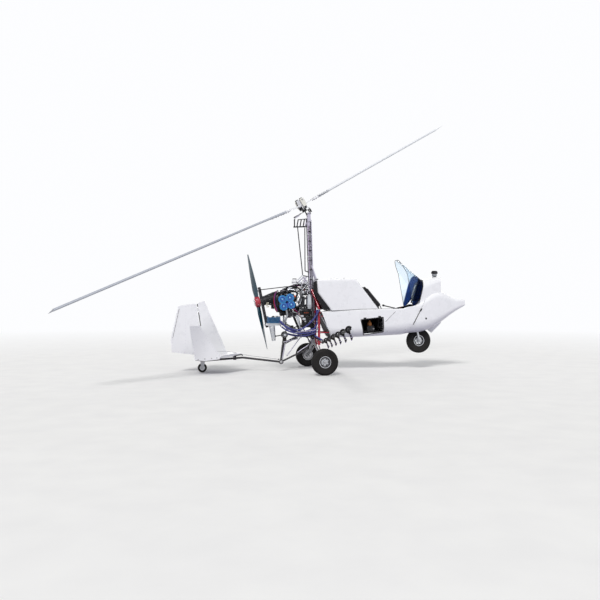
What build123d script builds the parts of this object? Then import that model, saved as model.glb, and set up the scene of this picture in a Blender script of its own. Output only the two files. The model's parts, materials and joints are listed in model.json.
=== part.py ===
from build123d import *
import os
from math import cos, radians, sin, tan

# A single-seat open pusher gyrocopter for crop spraying, parked on its main and tail wheels, nose up.
# Millimetres. +X to the nose, +Y to port, +Z up. Places are given as (ahead of the main axle, to port,
# above the ground). At the end everything is lowered so that the jacking socket is the origin.

SOCKET_HEIGHT = 395.0
SOCKET_RADIUS = 12.0
SOCKET_LENGTH = 30.0

# Fits
PIN_CLEARANCE = 0.05
SEAT_GAP = 0.3
SIDE_CLEARANCE = 6.0
WASHER_GAP = 1.0

# Wheels
WHEEL_RADIUS = 202.0
WHEEL_WIDTH = 120.0
HALF_TRACK = 780.0
RIM_RADIUS = 88.0
RIM_WIDTH = 92.0
AXLE_RADIUS = 12.5
NOSE_WHEEL_PLACE = Vector(1730, 0, 472)
NOSE_WHEEL_WIDTH = 90.0
NOSE_RIM_WIDTH = 70.0
TAIL_WHEEL_X = -1810.0
TAIL_WHEEL_RADIUS = 72.0
TAIL_WHEEL_WIDTH = 38.0
TAIL_AXLE_RADIUS = 6.0
TAIL_BOOM_RADIUS = 16.0
TAIL_BOOM_BEND = Vector(-1171, 0, 225)
TAIL_BOOM_END = Vector(-1840, 0, 180)
BOOM_FLANGE_RADIUS = 24.0
BOOM_WALL = 2.5
SPIGOT_RADIUS = 12.0
SPIGOT_LENGTH = 60.0

# Nose leg
STEER_RAKE = 13.0
FORK_BLADE = 10.0
STEERER_RADIUS = 16.0
STEERER_LENGTH = 150.0
TOW_PIN_LENGTH = 25.0

# Main frame
MAST_FOOT = Vector(-41, 0, 440)
GIMBAL = Vector(-114, 0, 2528)
MAST_DEPTH = 60.0
MAST_WIDTH = 50.0
MAST_FORK_DEPTH = 62.0
TUBE_RADIUS = 20.0
STAY_RADIUS = 11.0
POST_X = 27.0
POST_HALF_SPAN = 170.0
POST_TOP = 1012.0
POST_BOTTOM = 423.0
LOW_NODE = Vector(-561, 0, 150)
KEEL_ELBOW = Vector(-529, 0, 434)

# Pod
POD_WALL = 10.0
FIREWALL_INSET = 12.0
POD_REAR_TOP = (50.0, 955.0)
POD_REAR_BOTTOM = (213.0, 535.0)
SEAM_TOP = (1700.0, 1020.0)
SEAM_BOTTOM = (1530.0, 715.0)
SEAM_WIDTH = 3.0
COCKPIT_REAR = 990.0
COCKPIT_FRONT = 1640.0
COCKPIT_HALF_WIDTH = 225.0
SCREEN_HALF_WIDTH = 240.0
SCREEN_THICKNESS = 4.0
COWL_WALL = 6.0

# Hopper
HOPPER_WALL = 8.0
HOPPER_SLOPE = [(740.0, 1304.0), (610.0, 1477.0)]
HOPPER_HALF_WIDTH = 285.0

# Rotor
ROTOR_RADIUS = 4500.0
BLADE_CHORD = 200.0
BLADE_THICKNESS = 24.0
BLADE_ROOT = 420.0
BLADE_SKIN = 3.5
CONE = 2.3
DISC_TILT_AFT = 30.0
DISC_ROLL_STARBOARD = 2.0
BLADE_BEARING = 37.0
BLADE_LINE_SLOPE = 24.0
SPINDLE_OFFSET = 30.0
HEAD_PLATE_LEVEL = 60.0
TEETER_HEIGHT = 252.0
UNDERSLING = 80.0
SPINDLE_RADIUS = 15.0
TEETER_PIN_RADIUS = 10.0
GIMBAL_PIN_RADIUS = 8.0
GIMBAL_HALF = 30.0

# Propeller
PROP_CENTRE = Vector(-940, 0, 1108)
PROP_RADIUS = 770.0
PROP_TILT = 11.7
PROP_SHAFT_RADIUS = 20.0
PROP_HUB_RADIUS = 62.0

# Engine
CRANK_DROP = 90.0
ENGINE_AHEAD = 425.0
BORE_SPACING = 120.0
LOBE_RADIUS = 64.0
CASE_LENGTH = 330.0
CASE_HALF_WIDTH = 100.0
CASE_HALF_HEIGHT = 105.0
HEAD_SPAN = 230.0
HEAD_LENGTH = 230.0
DRIVE_AHEAD = 52.0
DRIVE_THICKNESS = 40.0
BEARER_Y = 75.0
BEARER_RADIUS = 16.0
CASE_TO_BEARER = 0.3
MUFFLER_TOP = 775.0

# Tail
HINGE_TOP = (-1896.0, 1084.0)
HINGE_BOTTOM = (-1775.0, 285.0)
RUDDER_GAP = 12.0
HINGE_SHARES = (0.12, 0.5, 0.88)
HINGE_PIN_RADIUS = 4.0
KNUCKLE_RADIUS = 9.0
KNUCKLE_LENGTH = 30.0
FIN_THICKNESS = 56.0
TAIL_HALF_SPAN = 480.0
STABILISER_LEADING = (-1171.0, 296.0)
STABILISER_TRAILING = (-1950.0, 235.0)
STABILISER_CREST = -1350.0
STABILISER_HALF = 20.0
STABILISER_EDGE = 4.0

# Spray booms
BOOM_ROOT = Vector(75, 235, 470)
BOOM_TIP = Vector(-280, 3650, 800)
BOOM_RADIUS = 16.0
NOZZLE_COUNT = 6
NOZZLE_FIRST = 0.18
NOZZLE_PITCH = 0.157
NOZZLE_TUBE = 11.0

NODES = {}


def keep(name, shape):
    """Files a finished piece under its node name."""
    NODES[name] = shape
    return shape


def mirror_y(shape):
    return mirror(shape, Plane.XZ)


def rod(start, end, radius):
    """A straight round bar from start to end."""
    start, end = Vector(start), Vector(end)
    place = Plane(origin=start, z_dir=end - start)
    return place * Cylinder(radius, (end - start).length, align=(Align.CENTER, Align.CENTER, Align.MIN))


def bent_tube(points, radius, bend):
    """A round tube through points, its corners bent to the given radius."""
    path = FilletPolyline(*[Vector(p) for p in points], radius=bend)
    section = Plane(origin=path @ 0, z_dir=path % 0) * Circle(radius)
    return sweep(section, path=path)


def side_profile(points, half_width, offset=0.0):
    """A prism whose outline is drawn in the side view, centred offset to port."""
    outline = Plane.XZ * make_face(Polyline(*points, close=True))
    return Pos(0, offset, 0) * extrude(outline, half_width, both=True)


def upright(radius, length):
    return Cylinder(radius, length, align=(Align.CENTER, Align.CENTER, Align.MIN))


def along_line(start, end, share):
    return start + (end - start) * share


# The rotor head's frame: forward along the head plate, port along the pitch bolt, up along the spindle
def head_plane():
    forward = Vector(cos(radians(DISC_TILT_AFT)), 0, sin(radians(DISC_TILT_AFT)))
    normal = Vector(-sin(radians(DISC_TILT_AFT)), 0, cos(radians(DISC_TILT_AFT)))
    roll = Axis((0, 0, 0), tuple(forward))
    return Plane(origin=GIMBAL, x_dir=forward, z_dir=normal.rotate(roll, DISC_ROLL_STARBOARD))


HEAD = head_plane()
PITCH_FRAME = Plane(origin=GIMBAL, x_dir=HEAD.x_dir, z_dir=HEAD.x_dir.cross(Vector(0, 1, 0)))
TEETER_POINT = GIMBAL - HEAD.x_dir * SPINDLE_OFFSET + HEAD.z_dir * TEETER_HEIGHT


def blade_plane():
    """The hub bar's frame at rest: x along the aft blade, y along the teeter bolt, z out of the disc."""
    bearing, slope = radians(BLADE_BEARING), radians(BLADE_LINE_SLOPE)
    along = Vector(-cos(bearing), -sin(bearing), -tan(slope)).normalized()
    bolt = HEAD.z_dir.cross(along).normalized()
    return Plane(origin=TEETER_POINT, x_dir=along, z_dir=along.cross(bolt))


ROTOR = blade_plane()
TOWER = Plane(origin=TEETER_POINT, x_dir=ROTOR.y_dir.cross(HEAD.z_dir), z_dir=HEAD.z_dir)
PROP = Plane(
    origin=PROP_CENTRE,
    x_dir=(0, 1, 0),
    z_dir=(cos(radians(PROP_TILT)), 0, sin(radians(PROP_TILT))),
)
# The engine's frame: x forward along the crankshaft, y to port
ENGINE = Plane(
    origin=PROP_CENTRE + PROP.z_dir * ENGINE_AHEAD - PROP.z_dir.cross(Vector(0, 1, 0)) * CRANK_DROP,
    x_dir=PROP.z_dir,
    z_dir=PROP.z_dir.cross(Vector(0, 1, 0)),
)
MAST = Plane(origin=MAST_FOOT, x_dir=(0, 1, 0), z_dir=GIMBAL - MAST_FOOT)
MAST_LENGTH = (GIMBAL - MAST_FOOT).length
HINGE_WAY = Vector(HINGE_TOP[0] - HINGE_BOTTOM[0], 0, HINGE_TOP[1] - HINGE_BOTTOM[1])
# The rudder hinge's frame: x forward, z up along the hinge line
HINGE = Plane(
    origin=(HINGE_BOTTOM[0], 0, HINGE_BOTTOM[1]),
    x_dir=Vector(0, 1, 0).cross(HINGE_WAY).normalized(),
    z_dir=HINGE_WAY,
)
BOOM_WAY = (BOOM_TIP - BOOM_ROOT).normalized()
STARBOARD_ROOT = Vector(BOOM_ROOT.X, -BOOM_ROOT.Y, BOOM_ROOT.Z)
STARBOARD_WAY = Vector(BOOM_WAY.X, -BOOM_WAY.Y, BOOM_WAY.Z)
STEERING = Plane(
    origin=NOSE_WHEEL_PLACE,
    x_dir=(cos(radians(STEER_RAKE)), 0, sin(radians(STEER_RAKE))),
    z_dir=(-sin(radians(STEER_RAKE)), 0, cos(radians(STEER_RAKE))),
)


def wheel(radius, width, rim_radius, rim_width, axle_radius):
    """A balloon tyre and its dished rim about the Y axis, bored for the axle."""
    half, tall = width / 2, radius - rim_radius
    half_outline = [
        (rim_radius, rim_width / 2),
        (rim_radius + 0.2 * tall, half * 0.92),
        (rim_radius + 0.55 * tall, half),
        (radius - 0.14 * tall, half * 0.75),
        (radius, half * 0.45),
    ]
    outline = half_outline + [(r, -y) for r, y in reversed(half_outline)]
    tyre = revolve(Plane.XZ * make_face(Polyline(*outline, close=True)), Axis.Z)
    web, hub, well = 6.0, axle_radius + 16, rim_radius - 12
    half_outline = [
        (axle_radius + PIN_CLEARANCE, rim_width * 0.42),
        (hub, rim_width * 0.42),
        (hub + 4, web),
        (well, web),
        (well + 4, rim_width / 2),
        (rim_radius, rim_width / 2),
    ]
    outline = half_outline + [(r, -y) for r, y in reversed(half_outline)]
    rim = revolve(Plane.XZ * make_face(Polyline(*outline, close=True)), Axis.Z)
    rim -= [place * Cylinder(0.13 * rim_radius, 4 * web) for place in PolarLocations((hub + well) / 2, 6)]
    turn = Rot(90, 0, 0)
    return turn * tyre, turn * rim


def main_gear():
    tyre, rim = wheel(WHEEL_RADIUS, WHEEL_WIDTH, RIM_RADIUS, RIM_WIDTH, AXLE_RADIUS)
    shoulder = HALF_TRACK - RIM_WIDTH * 0.42 - WASHER_GAP
    stub_end = HALF_TRACK + RIM_WIDTH * 0.42 + 8
    legs = None
    for side, name in ((1, "left"), (-1, "right")):
        place = Pos(0, side * HALF_TRACK, WHEEL_RADIUS)
        keep(f"tyre_{name}", place * tyre)
        keep(f"rim_{name}", place * rim)
        hub = Vector(0, side * (shoulder - 40), WHEEL_RADIUS)
        lug_y = MAST_WIDTH / 2 + SEAT_GAP
        lug = Pos(MAST_FOOT.X - 1, side * (lug_y + 18), 470) * Box(46, 36, 56)
        leg = lug + rod((MAST_FOOT.X, side * (lug_y + 20), 466), hub, TUBE_RADIUS)
        leg += rod((0, side * (shoulder - 60), WHEEL_RADIUS), (0, side * shoulder, WHEEL_RADIUS), 26)
        leg += rod((0, side * shoulder, WHEEL_RADIUS), (0, side * stub_end, WHEEL_RADIUS), AXLE_RADIUS)
        foot_level = POST_BOTTOM - STAY_RADIUS - 2
        leg += rod((POST_X, side * (POST_HALF_SPAN - 10), foot_level), hub, STAY_RADIUS)
        legs = leg if legs is None else legs + leg
    keep("gear_legs", legs)


def nose_gear():
    tyre, rim = wheel(WHEEL_RADIUS, NOSE_WHEEL_WIDTH, RIM_RADIUS, NOSE_RIM_WIDTH, AXLE_RADIUS)
    place = Pos(*NOSE_WHEEL_PLACE)
    keep("nose_tyre", place * tyre)
    keep("nose_rim", place * rim)
    blade_y = NOSE_WHEEL_WIDTH / 2 + SIDE_CLEARANCE + FORK_BLADE / 2
    crown = WHEEL_RADIUS + 14
    fork = Rot(90, 0, 0) * Cylinder(AXLE_RADIUS, 2 * blade_y + FORK_BLADE + 2 * TOW_PIN_LENGTH)
    for side in (1, -1):
        blade = Pos(0, side * blade_y, 0) * Box(34, FORK_BLADE, crown + 8, align=(Align.CENTER, Align.CENTER, Align.MIN))
        fork += blade
        fork += Pos(0, side * blade_y, 0) * Rot(90, 0, 0) * Cylinder(24, FORK_BLADE)
        fork += Pos(0, side * (blade_y - FORK_BLADE / 2 - 6), 0) * Rot(90, 0, 0) * Cylinder(18, 12)
    fork += Pos(0, 0, crown) * Box(50, 2 * blade_y + FORK_BLADE, 12, align=(Align.CENTER, Align.CENTER, Align.MIN))
    fork += Pos(0, 0, crown + 12) * upright(STEERER_RADIUS, STEERER_LENGTH)
    keep("nose_fork", STEERING * fork)
    sleeve = Pos(0, 0, crown + 13) * upright(STEERER_RADIUS + 9, STEERER_LENGTH - 20)
    shelf_level = crown + 70
    shelf = Pos(0, 0, shelf_level) * Box(150, 600, 8)
    head = STEERING * (sleeve + shelf) & pod_body(POD_WALL + SEAT_GAP)
    head -= STEERING * (Pos(0, 0, crown) * upright(STEERER_RADIUS + PIN_CLEARANCE, STEERER_LENGTH + 40))
    keep("steering_head", head)


# Columns: station, half width, top, bottom, lower corner radius, upper corner radius
POD_FLAT_SECTIONS = 3
POD_SECTIONS = (
    (20.0, 270.0, 953.0, 535.0, 150.0, 20.0),
    (700.0, 300.0, 992.0, 548.0, 170.0, 20.0),
    (1400.0, 300.0, 1003.0, 580.0, 190.0, 20.0),
    (1640.0, 275.0, 1075.0, 612.0, 190.0, 50.0),
    (1860.0, 235.0, 1235.0, 655.0, 180.0, 110.0),
    (2070.0, 180.0, 1290.0, 765.0, 140.0, 110.0),
    (2250.0, 124.0, 1215.0, 890.0, 95.0, 88.0),
    (2420.0, 68.0, 1166.0, 992.0, 55.0, 52.0),
    (2534.0, 26.0, 1137.0, 1054.0, 20.0, 20.0),
)


def pod_top(station):
    """The pod's top edge at a station, straight between the sections."""
    for near, far in zip(POD_SECTIONS, POD_SECTIONS[1:]):
        if station <= far[0]:
            share = (station - near[0]) / (far[0] - near[0])
            return near[2] + (far[2] - near[2]) * share
    return POD_SECTIONS[-1][2]


def pod_bottom(station):
    """The pod's keel line at a station, straight between the sections."""
    for near, far in zip(POD_SECTIONS, POD_SECTIONS[1:]):
        if station <= far[0]:
            share = (station - near[0]) / (far[0] - near[0])
            return near[3] + (far[3] - near[3]) * share
    return POD_SECTIONS[-1][3]


def pod_body(inset):
    """The pod closed, its sections drawn in by inset: a straight rear part and a smooth nose."""
    faces = []
    for station, half, top, bottom, low_radius, top_radius in POD_SECTIONS:
        half, top, bottom = half - inset, top - inset, bottom + inset
        low, high = max(low_radius - inset, 3), max(top_radius - inset, 3)
        outline = Polyline((-half, bottom), (half, bottom), (half, top), (-half, top), close=True)
        face = make_face(outline)
        face = fillet([v for v in face.vertices() if abs(v.Y - bottom) < 1e-6], low)
        face = fillet([v for v in face.vertices() if abs(v.Y - top) < 1e-6], high)
        faces.append(Plane(origin=(station, 0, 0), x_dir=(0, 1, 0), z_dir=(1, 0, 0)) * face)
    rear = loft(faces[:POD_FLAT_SECTIONS], ruled=True)
    return rear + loft(faces[POD_FLAT_SECTIONS - 1:])


def pod():
    """The pod's rear shell and its nose, one skin parted at the slanted seam."""
    skin = pod_body(0) - pod_body(POD_WALL)
    lean = (POD_REAR_BOTTOM[0] - POD_REAR_TOP[0]) / (POD_REAR_TOP[1] - POD_REAR_BOTTOM[1])
    low_x = POD_REAR_BOTTOM[0] + 60 * lean
    high_x = POD_REAR_TOP[0] - 60 * lean
    skin -= side_profile(
        [(high_x, POD_REAR_TOP[1] + 60), (low_x, POD_REAR_BOTTOM[1] - 60), (-50, 400), (-50, 1100)], 400
    )
    mouth = [
        (COCKPIT_REAR, 900),
        (COCKPIT_FRONT - 40, 900),
        (COCKPIT_FRONT + 20, 1200),
        (COCKPIT_REAR, 1200),
    ]
    skin -= side_profile(mouth, COCKPIT_HALF_WIDTH)
    hatch = [(688, 820), (1037, 856), (1046, 634), (740, 590)]
    skin -= side_profile(hatch, 60, -300)
    well_x, well_z = NOSE_WHEEL_PLACE.X, NOSE_WHEEL_PLACE.Z + WHEEL_RADIUS
    skin -= Pos(well_x, 0, well_z - 100) * Box(400, 236, 300)
    seam_run = (SEAM_TOP[0] - SEAM_BOTTOM[0]) / (SEAM_TOP[1] - SEAM_BOTTOM[1])
    top_x = SEAM_TOP[0] + 400 * seam_run
    bottom_x = SEAM_BOTTOM[0] - 300 * seam_run
    front = side_profile([(top_x, SEAM_TOP[1] + 400), (2700, 1420), (2700, 400), (bottom_x, SEAM_BOTTOM[1] - 300)], 400)
    step = Pos(-SEAM_WIDTH, 0, 0)
    strake = side_profile([(2140, 822), (2108, 750), (1952, 598), (1870, 663)], 4)
    keep("nose", (skin & front) + (strake - pod_body(POD_WALL)))
    keep("pod", skin - step * front)
    rear_cap = pod_body(POD_WALL + SEAT_GAP)
    plate_x = 4.0
    plate = side_profile(
        [
            (POD_REAR_TOP[0] - 60 * lean, POD_REAR_TOP[1] + 60),
            (POD_REAR_TOP[0] - 60 * lean + plate_x, POD_REAR_TOP[1] + 60),
            (low_x + plate_x, POD_REAR_BOTTOM[1] - 60),
            (low_x, POD_REAR_BOTTOM[1] - 60),
        ],
        400,
    )
    keep("firewall", Pos(FIREWALL_INSET, 0, 0) * plate & rear_cap)


def cowl():
    """The instrument cowl on the nose, a thin arched hood open to the rear, and the lamp on it."""

    def hood(inset):
        faces = []
        for station, half, top, radius in ((1660.0, 240.0, 1458.0, 200.0), (2062.0, 150.0, 1535.0, 90.0)):
            half, top, radius = half - inset, top - inset, radius - inset
            face = make_face(Polyline((-half, 1000), (half, 1000), (half, top), (-half, top), close=True))
            face = fillet([v for v in face.vertices() if abs(v.Y - top) < 1e-6], radius)
            faces.append(Plane(origin=(station, 0, 0), x_dir=(0, 1, 0), z_dir=(1, 0, 0)) * face)
        return loft(faces, ruled=True)

    outer = hood(0)
    inner = hood(COWL_WALL) - Pos(2062, 0, 1300) * Box(2 * COWL_WALL, 600, 900)
    rear_cut = side_profile([(1689, 1157), (1766, 1466), (1766, 1700), (1500, 1700), (1500, 900), (1626, 900)], 400)
    hood_shell = outer - inner - rear_cut - pod_body(-SEAT_GAP)
    keep("cowl", hood_shell)
    board = side_profile([(1704, 1157), (1776, 1446), (1784, 1446), (1712, 1157)], 400)
    keep("panel", board & hood(COWL_WALL + SEAT_GAP) - pod_body(-SEAT_GAP))
    lamp = Pos(2008, 0, 1500) * upright(30, 40) + Pos(2008, 0, 1538) * upright(40, 42)
    lamp += Pos(2008, 0, 1578) * upright(52, 30)
    lamp += Pos(2008, 0, 1607) * Cone(52, 40, 18, align=(Align.CENTER, Align.CENTER, Align.MIN))
    keep("lamp", lamp - Pos(0, 0, SEAT_GAP) * outer)


def windscreen():
    """A bent clear sheet: an arch run up and aft from the cowl, trimmed to its side outline."""
    rise = (1801 - 1461) / (1770 - 1353)
    run = 700.0
    half = SCREEN_HALF_WIDTH

    def arch(inset):
        side = half - inset
        apex = 1461 - inset
        face = make_face(Polyline((-side, 100), (side, 100), (side, apex), (-side, apex), close=True))
        face = fillet([v for v in face.vertices() if abs(v.Y - apex) < 1e-6], 200 - inset)
        return Plane(origin=(1770, 0, 0), x_dir=(0, 1, 0), z_dir=(1, 0, 0)) * face

    way = Vector(-run, 0, run * rise)
    sheet = extrude(arch(0), amount=way.length, dir=way.normalized())
    sheet -= extrude(arch(SCREEN_THICKNESS), amount=way.length, dir=way.normalized())
    front_edge = [(1353, 1812), (1762, 1476), (1762, 1463), (1684, 1150), (1600, 1052)]
    rear_edge = [(1556, 1030), (1514, 1278), (1463, 1570), (1430, 1640)]
    outline = front_edge + rear_edge
    screen = sheet & side_profile(outline, 400)
    keep("windscreen", screen - pod_body(-SEAT_GAP))


def hopper():
    """The spray tank behind the seat, hollow, with a filler neck and its screw cap."""
    foot, heel = COCKPIT_REAR - 8, 199.0
    outline = [
        (foot, pod_top(foot) + SEAT_GAP),
        *HOPPER_SLOPE,
        (-30, 1464),
        (-13, 1256),
        (heel, pod_top(heel) + SEAT_GAP + 8),
        (700, pod_top(700) + SEAT_GAP),
    ]
    body = side_profile(outline, HOPPER_HALF_WIDTH)
    long_edges = body.edges().filter_by(lambda e: abs(abs(e.center().Y) - HOPPER_HALF_WIDTH) < 1e-3)
    long_edges = long_edges.filter_by(lambda e: e.center().Z > 1100)
    body = fillet(long_edges, 35)
    section = offset(make_face(Polyline(*outline, close=True)), -HOPPER_WALL)
    inner = extrude(Plane.XZ * section, HOPPER_HALF_WIDTH - HOPPER_WALL, both=True)
    inner = fillet([e for e in inner.edges() if abs(e.center().Y) > 200 and e.center().Z > 1100], 27)
    neck = Pos(300, 0, 1440) * upright(60, 36)
    bore = Pos(300, 0, 1430) * upright(52, 80)
    tank = (body + neck) - inner - bore
    keep("hopper", tank)
    keep("hopper_cap", Pos(300, 0, 1476 + SEAT_GAP) * upright(68, 12))


def cockpit():
    """Seat, floor, stick, pedals, side lever and the kit seen through the side hatch."""
    floor = 700.0
    low = Align.CENTER, Align.CENTER, Align.MIN
    seat = side_profile([(990, 1000), (748, 1318), (796, 1354), (1020, 1060), (1020, 1000)], 190)
    seat += Pos(1210, 0, floor + SEAT_GAP) * Box(400, 380, 80, align=low)
    seat += side_profile([(1010, 770), (1060, 770), (1020, 1010), (990, 1010)], 190)
    foot = COCKPIT_REAR - 8
    tank_front = [(foot, pod_top(foot)), *HOPPER_SLOPE, (400, 1477), (400, pod_top(foot))]
    keep("seat", seat - Pos(2 * SEAT_GAP, 0, SEAT_GAP) * side_profile(tank_front, 400))
    pan = Pos(1275, 0, floor - 12) * Box(570, 700, 12, align=low)
    shelf = 640.0
    pan += Pos(860, 0, shelf - 6) * Box(250, 620, 6, align=low)
    keep("seat_pan", pan & pod_body(POD_WALL + SEAT_GAP))
    controls = Pos(1470, 0, floor + SEAT_GAP) * upright(34, 20)
    controls += rod((1470, 0, floor + 10), (1430, 0, 930), 12) + rod((1430, 0, 930), (1424, 0, 1020), 18)
    lever_y = -208.0
    controls += rod((1330, lever_y, floor + SEAT_GAP), (1330, lever_y, 1000), 9)
    controls += rod((1330, lever_y, 994), (1068, lever_y, 1054), 9)
    for side in (1, -1):
        controls += rod((1525, side * 110, floor + WASHER_GAP), (1540, side * 110, 820), 8)
        controls += Pos(1540, side * 110, 850) * Rot(0, -12, 0) * Box(12, 80, 90)
    keep("controls", controls)
    kit = Pos(860, -130, shelf + SEAT_GAP) * Box(80, 90, 84, align=low)
    kit += Pos(922, -140, shelf + SEAT_GAP) * upright(26, 70) + Pos(922, -140, shelf + 69) * upright(14, 34)
    keep("hatch_kit", kit)


def mast_front(height):
    """The mast's forward face at a height."""
    share = (height - MAST_FOOT.Z) / (GIMBAL.Z - MAST_FOOT.Z)
    return MAST_FOOT.X + (GIMBAL.X - MAST_FOOT.X) * share + MAST_DEPTH / 2


def mast_back(height):
    return mast_front(height) - MAST_DEPTH


def mast_bar(gap):
    """The mast's straight box section, grown by gap on every side."""
    bar = Box(
        MAST_WIDTH + 2 * gap,
        MAST_DEPTH + 2 * gap,
        MAST_LENGTH - MAST_FORK_DEPTH + gap,
        align=(Align.CENTER, Align.CENTER, Align.MIN),
    )
    return MAST * Pos(0, 0, -gap) * bar


def mast():
    """The box-section mast, the fork that carries the gimbal and two braces down to the hopper."""
    cheek_y = GIMBAL_HALF + WASHER_GAP
    cap_low = MAST_LENGTH - MAST_FORK_DEPTH - 60
    fork = Pos(0, 0, cap_low) * Box(2 * cheek_y, 50, 68, align=(Align.CENTER, Align.CENTER, Align.MIN))
    for side in (1, -1):
        cheek = Box(10, 50, MAST_FORK_DEPTH + 60, align=(Align.CENTER, Align.CENTER, Align.MIN))
        fork += Pos(side * (cheek_y + 5), 0, cap_low) * cheek
        fork += Pos(side * (cheek_y + 5), 0, MAST_LENGTH) * Rot(0, 90, 0) * Cylinder(25, 10)
    fork -= Pos(0, 0, MAST_LENGTH) * Rot(0, 90, 0) * Cylinder(GIMBAL_PIN_RADIUS + PIN_CLEARANCE, 200)
    body = mast_bar(0) + MAST * fork
    for side in (1, -1):
        body += rod((-87, side * 18, 1754), (5, side * 60, 1478), 10)
        body += Pos(5, side * 60, 1465 + SEAT_GAP) * upright(18, 14)
    keep("mast", body)


def red_frame():
    """The crimson frame ahead of the mast, the studs that carry the pod and the jacking socket."""
    red = None
    for side in (1, -1):
        post = bent_tube(
            [
                (-70, side * 48, 1308),
                (POST_X, side * POST_HALF_SPAN, POST_TOP),
                (POST_X, side * POST_HALF_SPAN, POST_BOTTOM),
            ],
            TUBE_RADIUS,
            90,
        )
        red = post if red is None else red + post
    for height in (POST_TOP - 60, 700.0, POST_BOTTOM + TUBE_RADIUS):
        red += rod((POST_X, -POST_HALF_SPAN, height), (POST_X, POST_HALF_SPAN, height), TUBE_RADIUS * 0.8)
    for height in (POST_TOP - 60, POST_BOTTOM + TUBE_RADIUS):
        red += side_profile([(-40, height + 16), (POST_X, height + 16), (POST_X, height - 16), (-40, height - 16)], 24)
    red += rod((-68, -48, 1300), (-68, 48, 1300), 12)
    wall_lean = (POD_REAR_BOTTOM[0] - POD_REAR_TOP[0]) / (POD_REAR_TOP[1] - POD_REAR_BOTTOM[1])
    for height in (880.0, 620.0):
        wall_x = POD_REAR_TOP[0] + (POD_REAR_TOP[1] - height) * wall_lean + FIREWALL_INSET
        for side in (1, -1):
            stud = rod((POST_X, side * POST_HALF_SPAN, height), (wall_x - 5, side * POST_HALF_SPAN, height), 10)
            red += stud
    for side in (1, -1):
        inner = Vector(BOOM_ROOT.X, side * BOOM_ROOT.Y, BOOM_ROOT.Z)
        way = Vector(BOOM_WAY.X, side * BOOM_WAY.Y, BOOM_WAY.Z)
        red += rod((POST_X, side * POST_HALF_SPAN, BOOM_ROOT.Z), inner - way * 14, 13)
        red += rod(inner - way * 28, inner - way * SEAT_GAP, BOOM_FLANGE_RADIUS)
    red += Pos(0, 0, SOCKET_HEIGHT) * Cylinder(SOCKET_RADIUS + 10, SOCKET_LENGTH)
    for side in (1, -1):
        web = [(-16, SOCKET_HEIGHT), (16, SOCKET_HEIGHT), (24, 432), (-9, 432)]
        red += side_profile(web, 4, side * (SOCKET_RADIUS + 6))
    red -= Pos(0, 0, SOCKET_HEIGHT) * Cylinder(SOCKET_RADIUS, 2 * SOCKET_LENGTH)
    keep("red_frame", red - mast_bar(SEAT_GAP))


def keel():
    """The keel's two tubes behind the mast foot, the low node and the slim boom to the tail."""
    body = bent_tube([(-60, 0, 603), (-253, 0, 577), KEEL_ELBOW, LOW_NODE], TUBE_RADIUS, 60)
    body += bent_tube([(-60, 0, 490), (-110, 0, 400), (-185, 0, 317), (-361, 0, 245), LOW_NODE], 14, 40)
    body += Pos(*LOW_NODE) * Rot(90, 0, 0) * Cylinder(36, 60)
    for side in (1, -1):
        plate_y = side * (MAST_WIDTH / 2 + SEAT_GAP + 3)
        body += side_profile([(-150, 620), (-30, 640), (-25, 515), (-70, 515)], 3, plate_y)
        for x in (-120.0, -135.0):
            body += rod((x, 0, 597), (x, plate_y, 597), 7)
    body += bent_tube([LOW_NODE - Vector(20, 0, -1), TAIL_BOOM_BEND, TAIL_BOOM_END], TAIL_BOOM_RADIUS, 200)
    for x in (-1300.0, -1700.0):
        body += side_profile([(x - 25, 190), (x + 25, 190), (x + 25, 330), (x - 25, 330)], 8)
    above = [(x, z - SEAT_GAP) for x, z in stabiliser_under()] + [(-1990, 420), (-1100, 420)]
    body -= side_profile(above, 100)
    keep("keel", body - mast_bar(SEAT_GAP))


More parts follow.
